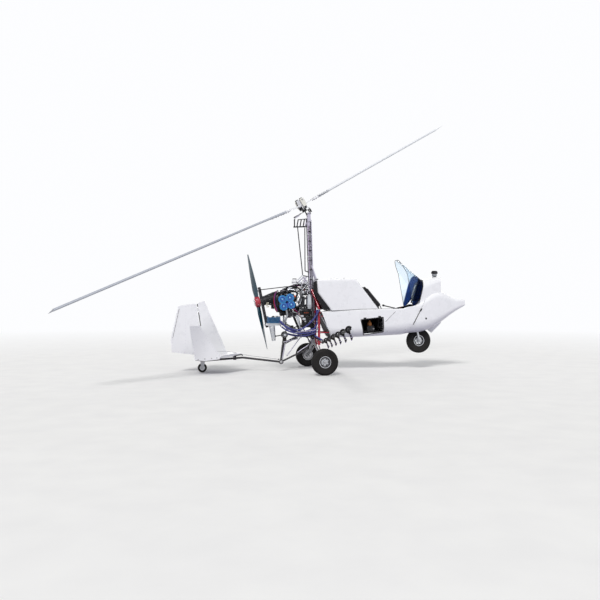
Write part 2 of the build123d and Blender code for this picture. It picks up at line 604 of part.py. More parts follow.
def rotor_head():
    """Gimbal block, head plate with bearing, hub towers, teetering bar, grips and blades."""
    block = Box(46, 2 * GIMBAL_HALF, 46)
    block += Rot(90, 0, 0) * Cylinder(GIMBAL_PIN_RADIUS, 2 * GIMBAL_HALF + 34)
    block -= Rot(0, 90, 0) * Cylinder(GIMBAL_PIN_RADIUS + PIN_CLEARANCE, 100)
    keep("gimbal_block", PITCH_FRAME * block)

    lug_x = 23 + WASHER_GAP + 6
    plate_low = HEAD_PLATE_LEVEL
    plate = Pos(-90, 0, plate_low) * Box(300, 70, 10, align=(Align.CENTER, Align.CENTER, Align.MIN))
    for way in (1, -1):
        plate += Pos(way * lug_x, 0, -18) * Box(12, 36, plate_low + 18, align=(Align.CENTER, Align.CENTER, Align.MIN))
    plate += Rot(0, 90, 0) * Cylinder(GIMBAL_PIN_RADIUS, 2 * lug_x + 24)
    plate += Pos(-SPINDLE_OFFSET, 0, plate_low + 10) * upright(38, 34)
    plate -= Pos(-SPINDLE_OFFSET, 0, plate_low - 5) * upright(SPINDLE_RADIUS + PIN_CLEARANCE, 90)
    keep("head_plate", HEAD * plate)

    base = -TEETER_HEIGHT + plate_low + 45
    cheek_gap = 38 + SIDE_CLEARANCE
    tower = Pos(0, 0, base) * upright(64, 10)
    tower += Pos(0, 0, base - 42) * upright(SPINDLE_RADIUS, 42)
    for side in (1, -1):
        cheek = Box(70, 14, -base + 10, align=(Align.CENTER, Align.CENTER, Align.MIN))
        cheek = Pos(0, side * (cheek_gap + 7), base) * cheek
        cheek += Pos(0, side * (cheek_gap + 7), 0) * Rot(90, 0, 0) * Cylinder(26, 14)
        tower += cheek
    tower += Rot(90, 0, 0) * Cylinder(TEETER_PIN_RADIUS, 2 * cheek_gap + 48)
    keep("hub_tower", TOWER * tower)

    bar = Pos(0, 0, -UNDERSLING) * Box(180, 76, 18)
    bar += Pos(0, 0, -UNDERSLING / 2) * Box(60, 2 * cheek_gap - 2 * WASHER_GAP, UNDERSLING + 40)
    bar -= Rot(90, 0, 0) * Cylinder(TEETER_PIN_RADIUS + PIN_CLEARANCE, 300)
    for turn in (0, 180):
        arm = Pos(0, 0, -UNDERSLING) * Rot(0, -CONE, 0) * Pos(60, 0, 0)
        arm = Rot(0, 0, turn) * arm * Box(560, 76, 16, align=(Align.MIN, Align.CENTER, Align.CENTER))
        bar += arm
    bar = ROTOR * bar
    for turn, name in ((0, "aft"), (180, "forward")):
        place = ROTOR * Rot(0, 0, turn) * Pos(0, 0, -UNDERSLING) * Rot(0, -CONE, 0)
        keep(f"blade_{name}", place * rotor_blade())
        bar += place * grip()
    keep("hub_bar", bar)


def blade_face(inset):
    """The blade's section: a rounded nose, flat sides and a thin tail, drawn in by inset."""
    half = BLADE_THICKNESS / 2 - inset
    nose_x = BLADE_CHORD * 0.3
    tail_x = nose_x - BLADE_CHORD + 8 * inset
    shoulder = nose_x - 30
    edges = [
        ThreePointArc((shoulder, -half), (nose_x - inset, 0), (shoulder, half)),
        Line((shoulder, half), (tail_x, 1)),
        Line((tail_x, 1), (tail_x, -1)),
        Line((tail_x, -1), (shoulder, -half)),
    ]
    return Plane(origin=(BLADE_ROOT, 0, 0), x_dir=(0, 1, 0), z_dir=(1, 0, 0)) * make_face(edges)


def rotor_blade():
    """One hollow blade along +x, its root slotted for the bar."""
    blade = extrude(blade_face(0), ROTOR_RADIUS - BLADE_ROOT)
    core = extrude(blade_face(BLADE_SKIN), ROTOR_RADIUS - BLADE_ROOT - 320)
    slot = Box(220, 77, 16.6, align=(Align.MIN, Align.CENTER, Align.CENTER))
    return blade - Pos(300, 0, 0) * core - Pos(BLADE_ROOT - 5, 0, 0) * slot


def grip():
    """Two strap plates that hold the blade root, and the packer that joins them to the bar."""
    strap = Box(420, 60, 6, align=(Align.MIN, Align.CENTER, Align.MIN))
    upper = Pos(BLADE_ROOT - 120, 0, BLADE_THICKNESS / 2 + SEAT_GAP) * strap
    lower = Pos(BLADE_ROOT - 120, 0, -BLADE_THICKNESS / 2 - SEAT_GAP - 6) * strap
    packer = Pos(BLADE_ROOT - 65, 0, 0) * Box(110, 60, BLADE_THICKNESS + 2)
    return upper + lower + packer


def head_controls():
    """The light cross bar and links behind the mast top, the dark pivots and the pushrods below."""

    def cross_bar(gap):
        outline = [(-120, 2335 + gap), (-360, 2324 + gap), (-360, 2304 - gap), (-120, 2314 - gap)]
        return side_profile(outline, 8 + gap)

    links = cross_bar(0) + side_profile([(-292, 2424), (-120, 2446), (-120, 2458), (-292, 2436)], 8)
    for x in (-312.0, -262.0, -212.0):
        for side in (1, -1):
            links += side_profile([(x, 2312), (x + 16, 2312), (x + 38, 2438), (x + 22, 2438)], 3, side * 9)
    links += side_profile([(-146, 2318), (-120, 2318), (-120, 2450), (-158, 2444)], 20)
    keep("head_links", links - mast_bar(SEAT_GAP))
    pivots = None
    for side in (1, -1):
        pivot = rod((-343, side * 16, 2314), (-343, side * 16, 2436), 7)
        pivots = pivot if pivots is None else pivots + pivot
    pivots += Pos(-343, 0, 2314) * Rot(90, 0, 0) * Cylinder(10, 46)
    pivots += Pos(-343, 0, 2430) * Rot(90, 0, 0) * Cylinder(10, 46)
    for top_x, low_x, low_z in ((-292, -209, 1534), (-175, -171, 1608)):
        pivots += rod((top_x, 0, 2306), (low_x, 0, low_z), 8)
        pivots += rod((low_x, 0, low_z), (mast_back(low_z) + 10, 0, low_z - 20), 8)
    keep("head_controls", pivots - cross_bar(SEAT_GAP) - mast_bar(SEAT_GAP))


def propeller():
    """Crimson hub on its shaft and two twisted blades."""
    hub = Pos(0, 0, -42) * upright(PROP_HUB_RADIUS, 84)
    hub += Pos(0, 0, 42) * upright(PROP_SHAFT_RADIUS, 70)
    hub -= Pos(0, 0, -60) * upright(16, 40)
    keep("prop_hub", PROP * hub)
    # Columns: radius, chord, thickness, pitch angle
    stations = ((PROP_HUB_RADIUS + SEAT_GAP, 76, 34, 50), (200, 124, 24, 38), (450, 128, 16, 24), (PROP_RADIUS, 60, 7, 13))
    blades = None
    for turn in (90, 270):
        faces = []
        for radius, chord, thickness, pitch in stations:
            lens = make_face(
                [
                    ThreePointArc((-chord / 2, 0), (0, thickness * 0.7), (chord / 2, 0)),
                    ThreePointArc((chord / 2, 0), (0, -thickness * 0.3), (-chord / 2, 0)),
                ]
            )
            plane = Plane(origin=(radius, 0, 0), x_dir=(0, 1, 0), z_dir=(1, 0, 0))
            faces.append(plane * Rot(0, 0, pitch) * lens)
        blade = Rot(0, 0, turn) * loft(faces, ruled=True)
        blades = blade if blades is None else blades + blade
    keep("prop_blades", PROP * blades)


def engine():
    """Boxer engine: crankcase with its gear housing, finned cylinders, lobed covers, drive plate."""
    case = Box(CASE_LENGTH, 2 * CASE_HALF_WIDTH, 2 * CASE_HALF_HEIGHT)
    case += Pos(-60, 0, 90) * Box(180, 120, 60)
    case += Pos(25 - CASE_LENGTH / 2, 0, CRANK_DROP) * Box(50, 210, 210)
    housing_start = DRIVE_AHEAD + DRIVE_THICKNESS + SEAT_GAP
    housing_length = ENGINE_AHEAD - CASE_LENGTH / 2 - housing_start + 1
    housing = Pos(0, 0, housing_start) * Cone(70, 104, housing_length, align=(Align.CENTER, Align.CENTER, Align.MIN))
    housing -= upright(PROP_SHAFT_RADIUS + 8, DRIVE_AHEAD + 74)
    keep("crankcase", ENGINE * case + PROP * housing)
    barrels = covers = None
    face = CASE_HALF_WIDTH + SEAT_GAP
    for side in (1, -1):
        turn = Rot(-90 * side, 0, 0)
        bank = Pos(0, side * (HEAD_SPAN - 15), 0) * Box(HEAD_LENGTH, 30, 130)
        for x in (-BORE_SPACING / 2, BORE_SPACING / 2):
            bank += Pos(x, side * face, 0) * turn * upright(44, HEAD_SPAN - face - 10)
            for n in range(4):
                bank += Pos(x, side * (face + 8 + 22 * n), 0) * turn * upright(57, 8)
        barrels = bank if barrels is None else barrels + bank
        cover_y = HEAD_SPAN + SEAT_GAP
        cover = Pos(0, side * (cover_y + 28), 0) * Box(BORE_SPACING, 56, 170)
        for x in (-60, 60):
            for z, depth in ((-56, 58), (56, 66)):
                cover += Pos(x, side * cover_y, z) * turn * upright(LOBE_RADIUS, depth)
        covers = cover if covers is None else covers + cover
    keep("cylinders", ENGINE * barrels)
    keep("head_covers", ENGINE * covers)
    slab = Pos(0, -102, DRIVE_AHEAD) * Box(90, 566, DRIVE_THICKNESS, align=(Align.CENTER, Align.CENTER, Align.MIN))
    for y, radius in ((181, 45), (-385, 45), (0, 66)):
        slab += Pos(0, y, DRIVE_AHEAD) * upright(radius, DRIVE_THICKNESS)
    slab -= upright(PROP_SHAFT_RADIUS + PIN_CLEARANCE, 200)
    stay = rod((-912, 0, 1300), (-490, 0, 1352), 7) + rod((-490, 0, 1352), (mast_back(1380) + 5, 0, 1380), 7)
    stay -= mast_bar(SEAT_GAP)
    keep("drive_plate", PROP * slab + stay)


def engine_mount():
    """Bearers under the crankcase, their plate on the mast and the struts down to the keel."""
    plate = [
        (mast_back(1110) - SEAT_GAP, 1110),
        (mast_back(985) - SEAT_GAP, 985),
        (mast_back(985) - SEAT_GAP - 8, 985),
        (mast_back(1110) - SEAT_GAP - 8, 1110),
    ]
    mount = side_profile(plate, 100)
    drop = -CASE_HALF_HEIGHT - CASE_TO_BEARER - BEARER_RADIUS
    for side in (1, -1):
        bearer = rod((-150, side * BEARER_Y, drop), (392, side * BEARER_Y, drop), BEARER_RADIUS)
        mount += ENGINE * bearer
        mount += rod((-406, side * BEARER_Y, 1000), (-242, side * 24, 598), 12)
    for x in (-130, 150):
        mount += ENGINE * rod((x, -BEARER_Y, drop), (x, BEARER_Y, drop), 12)
    mount -= rod((-60, 0, 603), (-300, 0, 571), TUBE_RADIUS + SEAT_GAP)
    starter = Pos(110, -46, -178) * Rot(0, 90, 0) * upright(38, 130)
    starter += Pos(240, -46, -178) * Rot(0, 90, 0) * upright(26, 30)
    starter += Pos(175, -60, drop - 20) * Box(60, 24, 44)
    keep("engine_mount", mount + ENGINE * starter)


def exhaust():
    """Header pipes, flat muffler and the tapered tailpipe under it."""
    low = Align.CENTER, Align.CENTER, Align.MIN
    muffler_y, entry_z = -115.0, MUFFLER_TOP - 20
    pipes = Pos(-698, muffler_y, MUFFLER_TOP - 40) * Box(240, 120, 40, align=low)
    pipes = fillet(pipes.edges().filter_by(Axis.Z), 18)
    for side, entry_y in ((1, -80.0), (-1, -150.0)):
        port = Pos(-20, side * 209, -71.3)
        top = Vector(*(ENGINE * port * Pos(0, 0, 3)).position)
        knee = (-488, side * 209, 905)
        pipes += ENGINE * port * upright(20, 6)
        pipes += bent_tube([top, knee, (-530, entry_y, entry_z), (-590, entry_y, entry_z)], 15, 30)
    way = Vector(27, 0, -217)
    cone_length = way.length + 30
    place = Plane(origin=(-722, muffler_y, MUFFLER_TOP - 35), z_dir=way)
    tail = Cone(50, 28, cone_length, align=low) - Pos(0, 0, cone_length - 80) * upright(24, 90)
    keep("exhaust", pipes + place * tail)


def cooling():
    """Radiator on the muffler, oil tank, battery and header tank beside the mast, and the hoses."""
    low = Align.CENTER, Align.CENTER, Align.MIN
    core = Box(200, 150, 92, align=low)
    for side in (1, -1):
        core += Pos(side * 94, 0, 0) * Box(14, 164, 104, align=low)
        for n in range(8):
            core -= Pos(0, side * 75, 12 + 10 * n) * Box(168, 10, 4)
    radiator = Pos(-700, -135, MUFFLER_TOP + SEAT_GAP) * core
    keep("radiator", radiator)
    tank = Cone(34, 52, 60, align=low) + Pos(0, 0, 59) * upright(52, 146)
    tank += Pos(0, 0, 204) * upright(34, 14) + Pos(0, 0, 217) * upright(20, 16)
    tank = Pos(-130, -165, 1000) * tank
    tank += rod((-130, -165, 1160), (-66, -20, 1160), 9)
    keep("oil_tank", tank - mast_bar(SEAT_GAP))
    tray = Pos(-150, -117, 704) * Box(150, 110, 7, align=low)
    tray += Pos(-75, -45, 704) * Box(100, 38, 7, align=low) + Pos(-60, -30, 660) * Box(60, 6, 100, align=low)
    case = Pos(-158, -120, 711) * Box(160, 104, 150, align=low) + Pos(-158, -120, 861) * Box(168, 112, 22, align=low)
    keep("battery", tray + case - mast_bar(SEAT_GAP))
    header = Pos(-351, -50, 1392) * (upright(44, 62) + Pos(0, 0, 61) * upright(32, 18))
    header += rod((-351, -50, 1410), (mast_back(1420) + 4, -12, 1420), 8)
    keep("header_tank", header - mast_bar(SEAT_GAP))
    post_side = POST_X - TUBE_RADIUS - 16 - SEAT_GAP
    coolant = bent_tube(
        [
            (-606, -217 - SEAT_GAP, 805),
            (-606, -262, 805),
            (-520, -262, 715),
            (-400, -215, 650),
            (-200, -190, 636),
            (-40, -POST_HALF_SPAN, 690),
            (post_side, -POST_HALF_SPAN, 760),
            (post_side, -POST_HALF_SPAN, 985),
        ],
        15,
        30,
    )
    feed = bent_tube(
        [(-470, -60, 600), (-380, -100, 575), (-200, -120, 560), (-60, -130, 600), (-25, -200, 560), (70, -262, 500)],
        13,
        25,
    )
    feed -= rod(STARBOARD_ROOT - STARBOARD_WAY * 30, STARBOARD_ROOT + STARBOARD_WAY * 60, BOOM_FLANGE_RADIUS + SEAT_GAP)
    hoses = coolant + feed - rod((POST_X, -POST_HALF_SPAN, 400), (POST_X, -POST_HALF_SPAN, 1000), TUBE_RADIUS + SEAT_GAP)
    keep("hoses", hoses - NODES["spray_pump"])


def induction():
    """The cross plenum, its runners to the heads and the two carburettors with their filters."""
    plenum_x, plenum_z = -330.0, 1290.0
    intake = rod((plenum_x, -150, plenum_z), (plenum_x, 150, plenum_z), 28)
    for side in (1, -1):
        intake += bent_tube(
            [
                (plenum_x, side * 140, plenum_z),
                (-262, side * 212, 1262),
                (-290, side * 212, 1130),
                (-396, side * 212, 1082),
            ],
            17,
            30,
        )
    heads = Box(HEAD_LENGTH + 2 * SEAT_GAP, 2 * HEAD_SPAN, 132)
    keep("intake", intake - ENGINE * heads)
    carbs = None
    for y in (-60, 60):
        carb = Pos(plenum_x - 28 - SEAT_GAP - 38, y, plenum_z) * Box(76, 56, 56)
        carb += Pos(plenum_x - 100, y, plenum_z - 20) * upright(22, 60)
        carb += Pos(plenum_x - 100, y, plenum_z) * Rot(0, -90, 0) * upright(40, 95)
        carbs = carb if carbs is None else carbs + carb
    carbs += Pos(plenum_x - 70, 0, plenum_z) * Rot(90, 0, 0) * Cylinder(9, 120)
    keep("carburettors", carbs)


def pump():
    """The spray pump's drum over the keel's elbow, with its drive rod."""
    drum = Pos(-506, 0, 583) * Rot(90, 0, 0) * (Cylinder(50, 96) + Cylinder(56, 12) + Cylinder(20, 130))
    drum += rod((-506, 0, 583), (-655, 0, 560), 8) + Pos(-655, 0, 560) * Sphere(14)
    drum += side_profile([(-545, 440), (-470, 480), (-480, 560), (-530, 560)], 12)
    keep("spray_pump", drum - Pos(0, 0, SEAT_GAP) * NODES["keel"])


def stabiliser_line(station):
    """The height of the stabiliser's middle plane at a station."""
    share = (station - STABILISER_LEADING[0]) / (STABILISER_TRAILING[0] - STABILISER_LEADING[0])
    return STABILISER_LEADING[1] + (STABILISER_TRAILING[1] - STABILISER_LEADING[1]) * share


def stabiliser_under():
    """The stabiliser's lower outline from nose to tail."""
    return [
        STABILISER_LEADING,
        (STABILISER_CREST, stabiliser_line(STABILISER_CREST) - STABILISER_HALF),
        (STABILISER_TRAILING[0], STABILISER_TRAILING[1] - STABILISER_EDGE),
    ]


def stabiliser_over():
    """The stabiliser's upper outline from nose to tail."""
    return [
        STABILISER_LEADING,
        (STABILISER_CREST, stabiliser_line(STABILISER_CREST) + STABILISER_HALF),
        (STABILISER_TRAILING[0], STABILISER_TRAILING[1] + STABILISER_EDGE),
    ]


def tail():
    """Fin, hinged rudder with its trim tab, stabiliser, end plates and the tail wheel in its fork."""
    lean = (HINGE_TOP[0] - HINGE_BOTTOM[0]) / (HINGE_TOP[1] - HINGE_BOTTOM[1])
    low_x = HINGE_BOTTOM[0] + (240 - HINGE_BOTTOM[1]) * lean
    fin = side_profile(
        [(-1779, 1123), (HINGE_TOP[0] + RUDDER_GAP, 1087), (low_x + RUDDER_GAP, 240), (-1390, 240)],
        FIN_THICKNESS / 2,
    )
    below = [(x, z + SEAT_GAP) for x, z in stabiliser_over()] + [(-1990, 100), (-1100, 100)]
    fin -= side_profile(below, 100)
    rudder = side_profile(
        [
            (HINGE_TOP[0] - RUDDER_GAP, HINGE_TOP[1]),
            (-2184, 1044),
            (-2295, 543),
            (-2284, 323),
            (-1951, 280),
            (HINGE_BOTTOM[0] - RUDDER_GAP, HINGE_BOTTOM[1] + 4),
        ],
        FIN_THICKNESS / 2 - 4,
    )
    for share in HINGE_SHARES:
        place = HINGE * Pos(0, 0, share * HINGE_WAY.length)
        lug = Cylinder(KNUCKLE_RADIUS, KNUCKLE_LENGTH)
        lug += Pos(RUDDER_GAP, 0, 0) * Box(2 * RUDDER_GAP, 6, KNUCKLE_LENGTH)
        room = Cylinder(KNUCKLE_RADIUS + SIDE_CLEARANCE, KNUCKLE_LENGTH + 2 * WASHER_GAP + 30)
        ends = None
        for way in (1, -1):
            end_z = way * (KNUCKLE_LENGTH / 2 + WASHER_GAP + 5)
            end = Pos(0, 0, end_z) * Cylinder(KNUCKLE_RADIUS - 2, 10)
            end += Pos(-RUDDER_GAP - 8, 0, end_z) * Box(2 * RUDDER_GAP + 16, 6, 10)
            ends = end if ends is None else ends + end
        pin = Cylinder(HINGE_PIN_RADIUS, KNUCKLE_LENGTH + 20)
        fin = fin - place * room + place * lug - place * Cylinder(HINGE_PIN_RADIUS + PIN_CLEARANCE, 90)
        rudder = rudder - place * room + place * (ends + pin)
    keep("fin", fin)
    tab = [(-2274, 470), (-2172, 930), (-2196, 930), (-2306, 470)]
    keep("rudder", rudder + side_profile(tab, 3))
    plan = [
        (STABILISER_LEADING[0], 0),
        (-1560, TAIL_HALF_SPAN),
        (-1935, TAIL_HALF_SPAN),
        (STABILISER_TRAILING[0], 0),
        (-1935, -TAIL_HALF_SPAN),
        (-1560, -TAIL_HALF_SPAN),
    ]
    slab = extrude(make_face(Polyline(*plan, close=True)), 500)
    outline = stabiliser_under() + stabiliser_over()[:0:-1]
    keep("stabiliser", slab & side_profile(outline, 600))
    plate = [(-2010, 743), (-1861, 750), (-1544, 285), (-1560, 240), (-1785, 215), (-1928, 232)]
    plates = None
    for side in (1, -1):
        end_plate = side_profile(plate, 8, side * (TAIL_HALF_SPAN + 8 + SEAT_GAP))
        plates = end_plate if plates is None else plates + end_plate
    keep("end_plates", plates)
    tyre, rim = wheel(TAIL_WHEEL_RADIUS, TAIL_WHEEL_WIDTH, 40, 30, TAIL_AXLE_RADIUS)
    place = Pos(TAIL_WHEEL_X, 0, TAIL_WHEEL_RADIUS)
    keep("tail_tyre", place * tyre)
    keep("tail_rim", place * rim)
    blade_y = TAIL_WHEEL_WIDTH / 2 + SIDE_CLEARANCE + 3
    fork = place * Rot(90, 0, 0) * Cylinder(TAIL_AXLE_RADIUS, 2 * blade_y + 16)
    for side in (1, -1):
        fork += side_profile([(-1826, 60), (-1794, 60), (-1770, 170), (-1840, 170)], 3, side * blade_y)
    fork += Pos(-1805, 0, 170) * Box(70, 2 * blade_y + 6, 24)
    boom_room = rod(TAIL_BOOM_BEND, along_line(TAIL_BOOM_BEND, TAIL_BOOM_END, 1.03), TAIL_BOOM_RADIUS + SEAT_GAP)
    keep("tail_fork", fork - boom_room)


def spray_gear():
    """Booms bolted to the red frame's lugs, their stays and a row of hooked nozzle units."""
    end = BOOM_TIP - BOOM_WAY * SPIGOT_LENGTH
    boom = rod(BOOM_ROOT, end, BOOM_RADIUS) + rod(end - BOOM_WAY * 10, BOOM_TIP, SPIGOT_RADIUS)
    boom += rod(BOOM_ROOT, BOOM_ROOT + BOOM_WAY * 8, BOOM_FLANGE_RADIUS)
    boom -= rod(BOOM_ROOT + BOOM_WAY * 10, end - BOOM_WAY * 20, BOOM_RADIUS - BOOM_WALL)
    room = rod(BOOM_ROOT, BOOM_TIP, BOOM_RADIUS + SEAT_GAP)
    post_room = rod(
        (POST_X, POST_HALF_SPAN, POST_BOTTOM), (POST_X, POST_HALF_SPAN, POST_TOP), TUBE_RADIUS + SEAT_GAP
    )
    stay_end = along_line(BOOM_ROOT, BOOM_TIP, 0.45) + Vector(0, 0, BOOM_RADIUS)
    stay = rod((POST_X + 6, POST_HALF_SPAN + 14, POST_TOP - 100), stay_end, 7) - room - post_room
    nozzles = None
    for n in range(NOZZLE_COUNT):
        point = along_line(BOOM_ROOT, BOOM_TIP, NOZZLE_FIRST + NOZZLE_PITCH * n)
        hook = ThreePointArc((24, 0, 21), (-32, 0, 0), (8, 0, -31))
        body = sweep(Plane(origin=hook @ 0, z_dir=hook % 0) * Circle(NOZZLE_TUBE), path=hook)
        body += Pos(0, 0, -BOOM_RADIUS - 6) * Box(26, 26, 14)
        body += rod((4, 0, -31), (30, 0, -92), NOZZLE_TUBE)
        body += Pos(30, 0, -88) * upright(16, 10) + Pos(30, 0, -99) * Cone(9, 15, 24)
        body = Pos(*point) * body
        nozzles = body if nozzles is None else nozzles + body
    nozzles -= room
    for name, shape in (("booms", boom), ("boom_stays", stay), ("nozzles", nozzles)):
        keep(name, shape + mirror_y(shape))


def export_all():
    os.makedirs("parts", exist_ok=True)
    for name, shape in NODES.items():
        export_step(Pos(0, 0, -SOCKET_HEIGHT) * shape, f"parts/{name}.step")


def build():
    main_gear()
    nose_gear()
    pod()
    cowl()
    windscreen()
    hopper()
    cockpit()
    mast()
    red_frame()
    keel()
    rotor_head()
    head_controls()
    propeller()
    engine()
    engine_mount()
    exhaust()
    pump()
    cooling()
    induction()
    tail()
    spray_gear()


if __name__ == "__main__":
    build()
    export_all()
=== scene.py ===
import json
from itertools import product
from math import cos, exp, pi, radians, sin, tan

import bmesh
import bpy
from bpy.props import FloatProperty, FloatVectorProperty, IntProperty, PointerProperty
from mathutils import Matrix, Vector
from mathutils.bvhtree import BVHTree


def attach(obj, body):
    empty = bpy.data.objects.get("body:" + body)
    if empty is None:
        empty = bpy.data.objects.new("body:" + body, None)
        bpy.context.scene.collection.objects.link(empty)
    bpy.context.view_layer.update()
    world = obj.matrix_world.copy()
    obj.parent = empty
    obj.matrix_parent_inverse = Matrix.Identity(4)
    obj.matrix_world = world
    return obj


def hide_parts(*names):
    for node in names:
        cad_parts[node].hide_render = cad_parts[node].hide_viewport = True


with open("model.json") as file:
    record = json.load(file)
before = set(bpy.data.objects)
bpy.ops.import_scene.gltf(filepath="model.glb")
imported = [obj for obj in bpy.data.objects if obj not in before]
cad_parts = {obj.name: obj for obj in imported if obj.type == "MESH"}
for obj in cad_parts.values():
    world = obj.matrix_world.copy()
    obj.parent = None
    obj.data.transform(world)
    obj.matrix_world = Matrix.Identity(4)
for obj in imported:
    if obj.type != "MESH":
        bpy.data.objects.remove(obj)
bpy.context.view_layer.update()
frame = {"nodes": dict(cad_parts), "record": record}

bl_info = {
    "name": "Spraying gyrocopter",
    "version": (1, 0, 0),
    "blender": (4, 5, 0),
    "location": "View3D > Sidebar > Gyrocopter",
    "description": "Dresses the gyrocopter frame with finishes, tyres, upholstery, fittings and plumbing",
    "category": "Object",
}

SOCKET_HEIGHT = 395.0
WHEEL_RADIUS = 202.0
RIM_RADIUS = 88.0
HALF_TRACK = 780.0
NOSE_WHEEL = (1730.0, 0.0, 472.0)
TAIL_WHEEL = (-1810.0, 0.0, 72.0)
GIMBAL = (-114.0, 0.0, 2528.0)
PROP_CENTRE = (-940.0, 0.0, 1108.0)


def at(x, y, z):
    """A place given in millimetres ahead of the axle, to port and above the ground, in the frame's metres."""
    return Vector((x, y, z - SOCKET_HEIGHT)) / 1000.0


def local(place):
    """A place in the frame's metres, given back in millimetres above the ground."""
    return place * 1000 + Vector((0, 0, SOCKET_HEIGHT))


def on(frame_place, x, y, z):
    """A place in a local frame, in millimetres above the ground."""
    return frame_place @ Vector((x, y, z))


def moved(frame_place, x, y, z):
    """A local frame moved by a distance in its own directions."""
    return frame_place @ Matrix.Translation((x, y, z))


def seat_on(origin, x_axis, z_axis):
    """A matrix for a local frame in millimetres, set at origin with the given forward and up directions."""
    z_axis = Vector(z_axis).normalized()
    x_axis = Vector(x_axis)
    x_axis = (x_axis - z_axis * x_axis.dot(z_axis)).normalized()
    y_axis = z_axis.cross(x_axis)
    turn = Matrix((x_axis, y_axis, z_axis)).transposed().to_4x4()
    return Matrix.Translation(Vector(origin)) @ turn


HEAD_TILT, HEAD_ROLL = radians(30), radians(2)
HEAD_FORWARD = Vector((cos(HEAD_TILT), 0, sin(HEAD_TILT)))
HEAD_UP = Vector((-sin(HEAD_TILT), 0, cos(HEAD_TILT))) * cos(HEAD_ROLL) - Vector((0, 1, 0)) * sin(HEAD_ROLL)
HEAD = seat_on(GIMBAL, HEAD_FORWARD, HEAD_UP)
TEETER = Vector(GIMBAL) - HEAD_FORWARD * 30 + HEAD_UP * 252
BLADE_BEARING, BLADE_DROP = radians(37), radians(24)
BLADE_WAY = Vector((-cos(BLADE_BEARING), -sin(BLADE_BEARING), -tan(BLADE_DROP))).normalized()
BLADE_BOLT = HEAD_UP.cross(BLADE_WAY).normalized()
ROTOR = seat_on(TEETER, BLADE_WAY, BLADE_WAY.cross(BLADE_BOLT))
TOWER = seat_on(TEETER, BLADE_BOLT.cross(HEAD_UP), HEAD_UP)
PROP_TILT = radians(11.7)
PROP = seat_on(PROP_CENTRE, (0, 1, 0), (cos(PROP_TILT), 0, sin(PROP_TILT)))
ENGINE_UP = Vector((-sin(PROP_TILT), 0, cos(PROP_TILT)))
CRANK_AHEAD, CRANK_DROP = 425.0, 90.0
ENGINE = seat_on(on(PROP, 0, 0, CRANK_AHEAD) - ENGINE_UP * CRANK_DROP, (cos(PROP_TILT), 0, sin(PROP_TILT)), ENGINE_UP)
MAST_FOOT = Vector((-41, 0, 440))
MAST = seat_on(MAST_FOOT, (0, 1, 0), Vector(GIMBAL) - MAST_FOOT)
STEER_RAKE = radians(13)
STEERING = seat_on(NOSE_WHEEL, (1, 0, 0), (-sin(STEER_RAKE), 0, cos(STEER_RAKE)))
BOOM_ROOT = Vector((75, 235, 470))
BOOM_TIP = Vector((-280, 3650, 800))


class GyroSizes(bpy.types.PropertyGroup):
    tread_depth: FloatProperty(name="Tread depth", description="Depth of the tyre's grooves", default=0.004,
                               min=0.0, max=0.01, unit="LENGTH")
    tyre_steps: IntProperty(name="Tyre steps", description="Divisions round each tyre", default=120, min=48, max=240)
    seam: FloatProperty(name="Seam strap", description="Width of the strap over the pod's seam", default=0.014,
                        min=0.006, max=0.04, unit="LENGTH")


class GyroColours(bpy.types.PropertyGroup):
    gelcoat: FloatVectorProperty(name="Gelcoat", description="White of the pod, hopper and tail", subtype="COLOR",
                                 default=(0.84, 0.85, 0.875), min=0, max=1)
    crimson: FloatVectorProperty(name="Crimson", description="Frame and propeller hub", subtype="COLOR",
                                 default=(0.40, 0.008, 0.032), min=0, max=1)
    azure: FloatVectorProperty(name="Azure", description="Lobed engine covers", subtype="COLOR",
                               default=(0.006, 0.17, 0.44), min=0, max=1)
    # The hose colour is blue silicone, darkened to blue-violet by painted shade
    hose: FloatVectorProperty(name="Hose", description="Blue-violet hoses", subtype="COLOR",
                              default=(0.055, 0.06, 0.22), min=0, max=1)
    dust: FloatVectorProperty(name="Dust", description="Field dust on the lower parts", subtype="COLOR",
                              default=(0.36, 0.31, 0.25), min=0, max=1)


class Graph:
    """Adds nodes to a node tree, linking any input that is given as a socket."""

    def __init__(self, tree):
        self.tree = tree

    def add(self, kind, inputs=None, **settings):
        node = self.tree.nodes.new(kind)
        for key, value in settings.items():
            setattr(node, key, value)
        for key, value in (inputs or {}).items():
            self.feed(node.inputs[key], value)
        return node

    def feed(self, socket, value):
        if isinstance(value, bpy.types.NodeSocket):
            self.tree.links.new(value, socket)
        else:
            socket.default_value = value

    def math(self, operation, *values, clamp=False):
        node = self.add("ShaderNodeMath", operation=operation, use_clamp=clamp)
        for socket, value in zip(node.inputs, values):
            self.feed(socket, value)
        return node.outputs[0]

    def blend(self, factor, first, second, mode="MIX"):
        node = self.add("ShaderNodeMix", data_type="RGBA", blend_type=mode)
        for index, value in ((0, factor), (6, first), (7, second)):
            self.feed(node.inputs[index], value)
        return node.outputs[2]

    def span(self, value, low, high, out_low=0.0, out_high=1.0):
        node = self.add("ShaderNodeMapRange", {"Value": value, "From Min": low, "From Max": high,
                                               "To Min": out_low, "To Max": out_high}, clamp=True)
        return node.outputs[0]


def new_group(name, inputs, outputs):
    """An empty shader group with named sockets; returns the group, its graph, inputs and output node."""
    group = bpy.data.node_groups.new(name, "ShaderNodeTree")
    kinds = {"value": "NodeSocketFloat", "colour": "NodeSocketColor", "vector": "NodeSocketVector"}
    for label, kind, default in inputs:
        made = group.interface.new_socket(label, in_out="INPUT", socket_type=kinds[kind])
        made.default_value = default
    for label, kind in outputs:
        group.interface.new_socket(label, in_out="OUTPUT", socket_type=kinds[kind])
    graph = Graph(group)
    source = graph.add("NodeGroupInput")
    sink = graph.add("NodeGroupOutput")
    return group, graph, source.outputs, sink


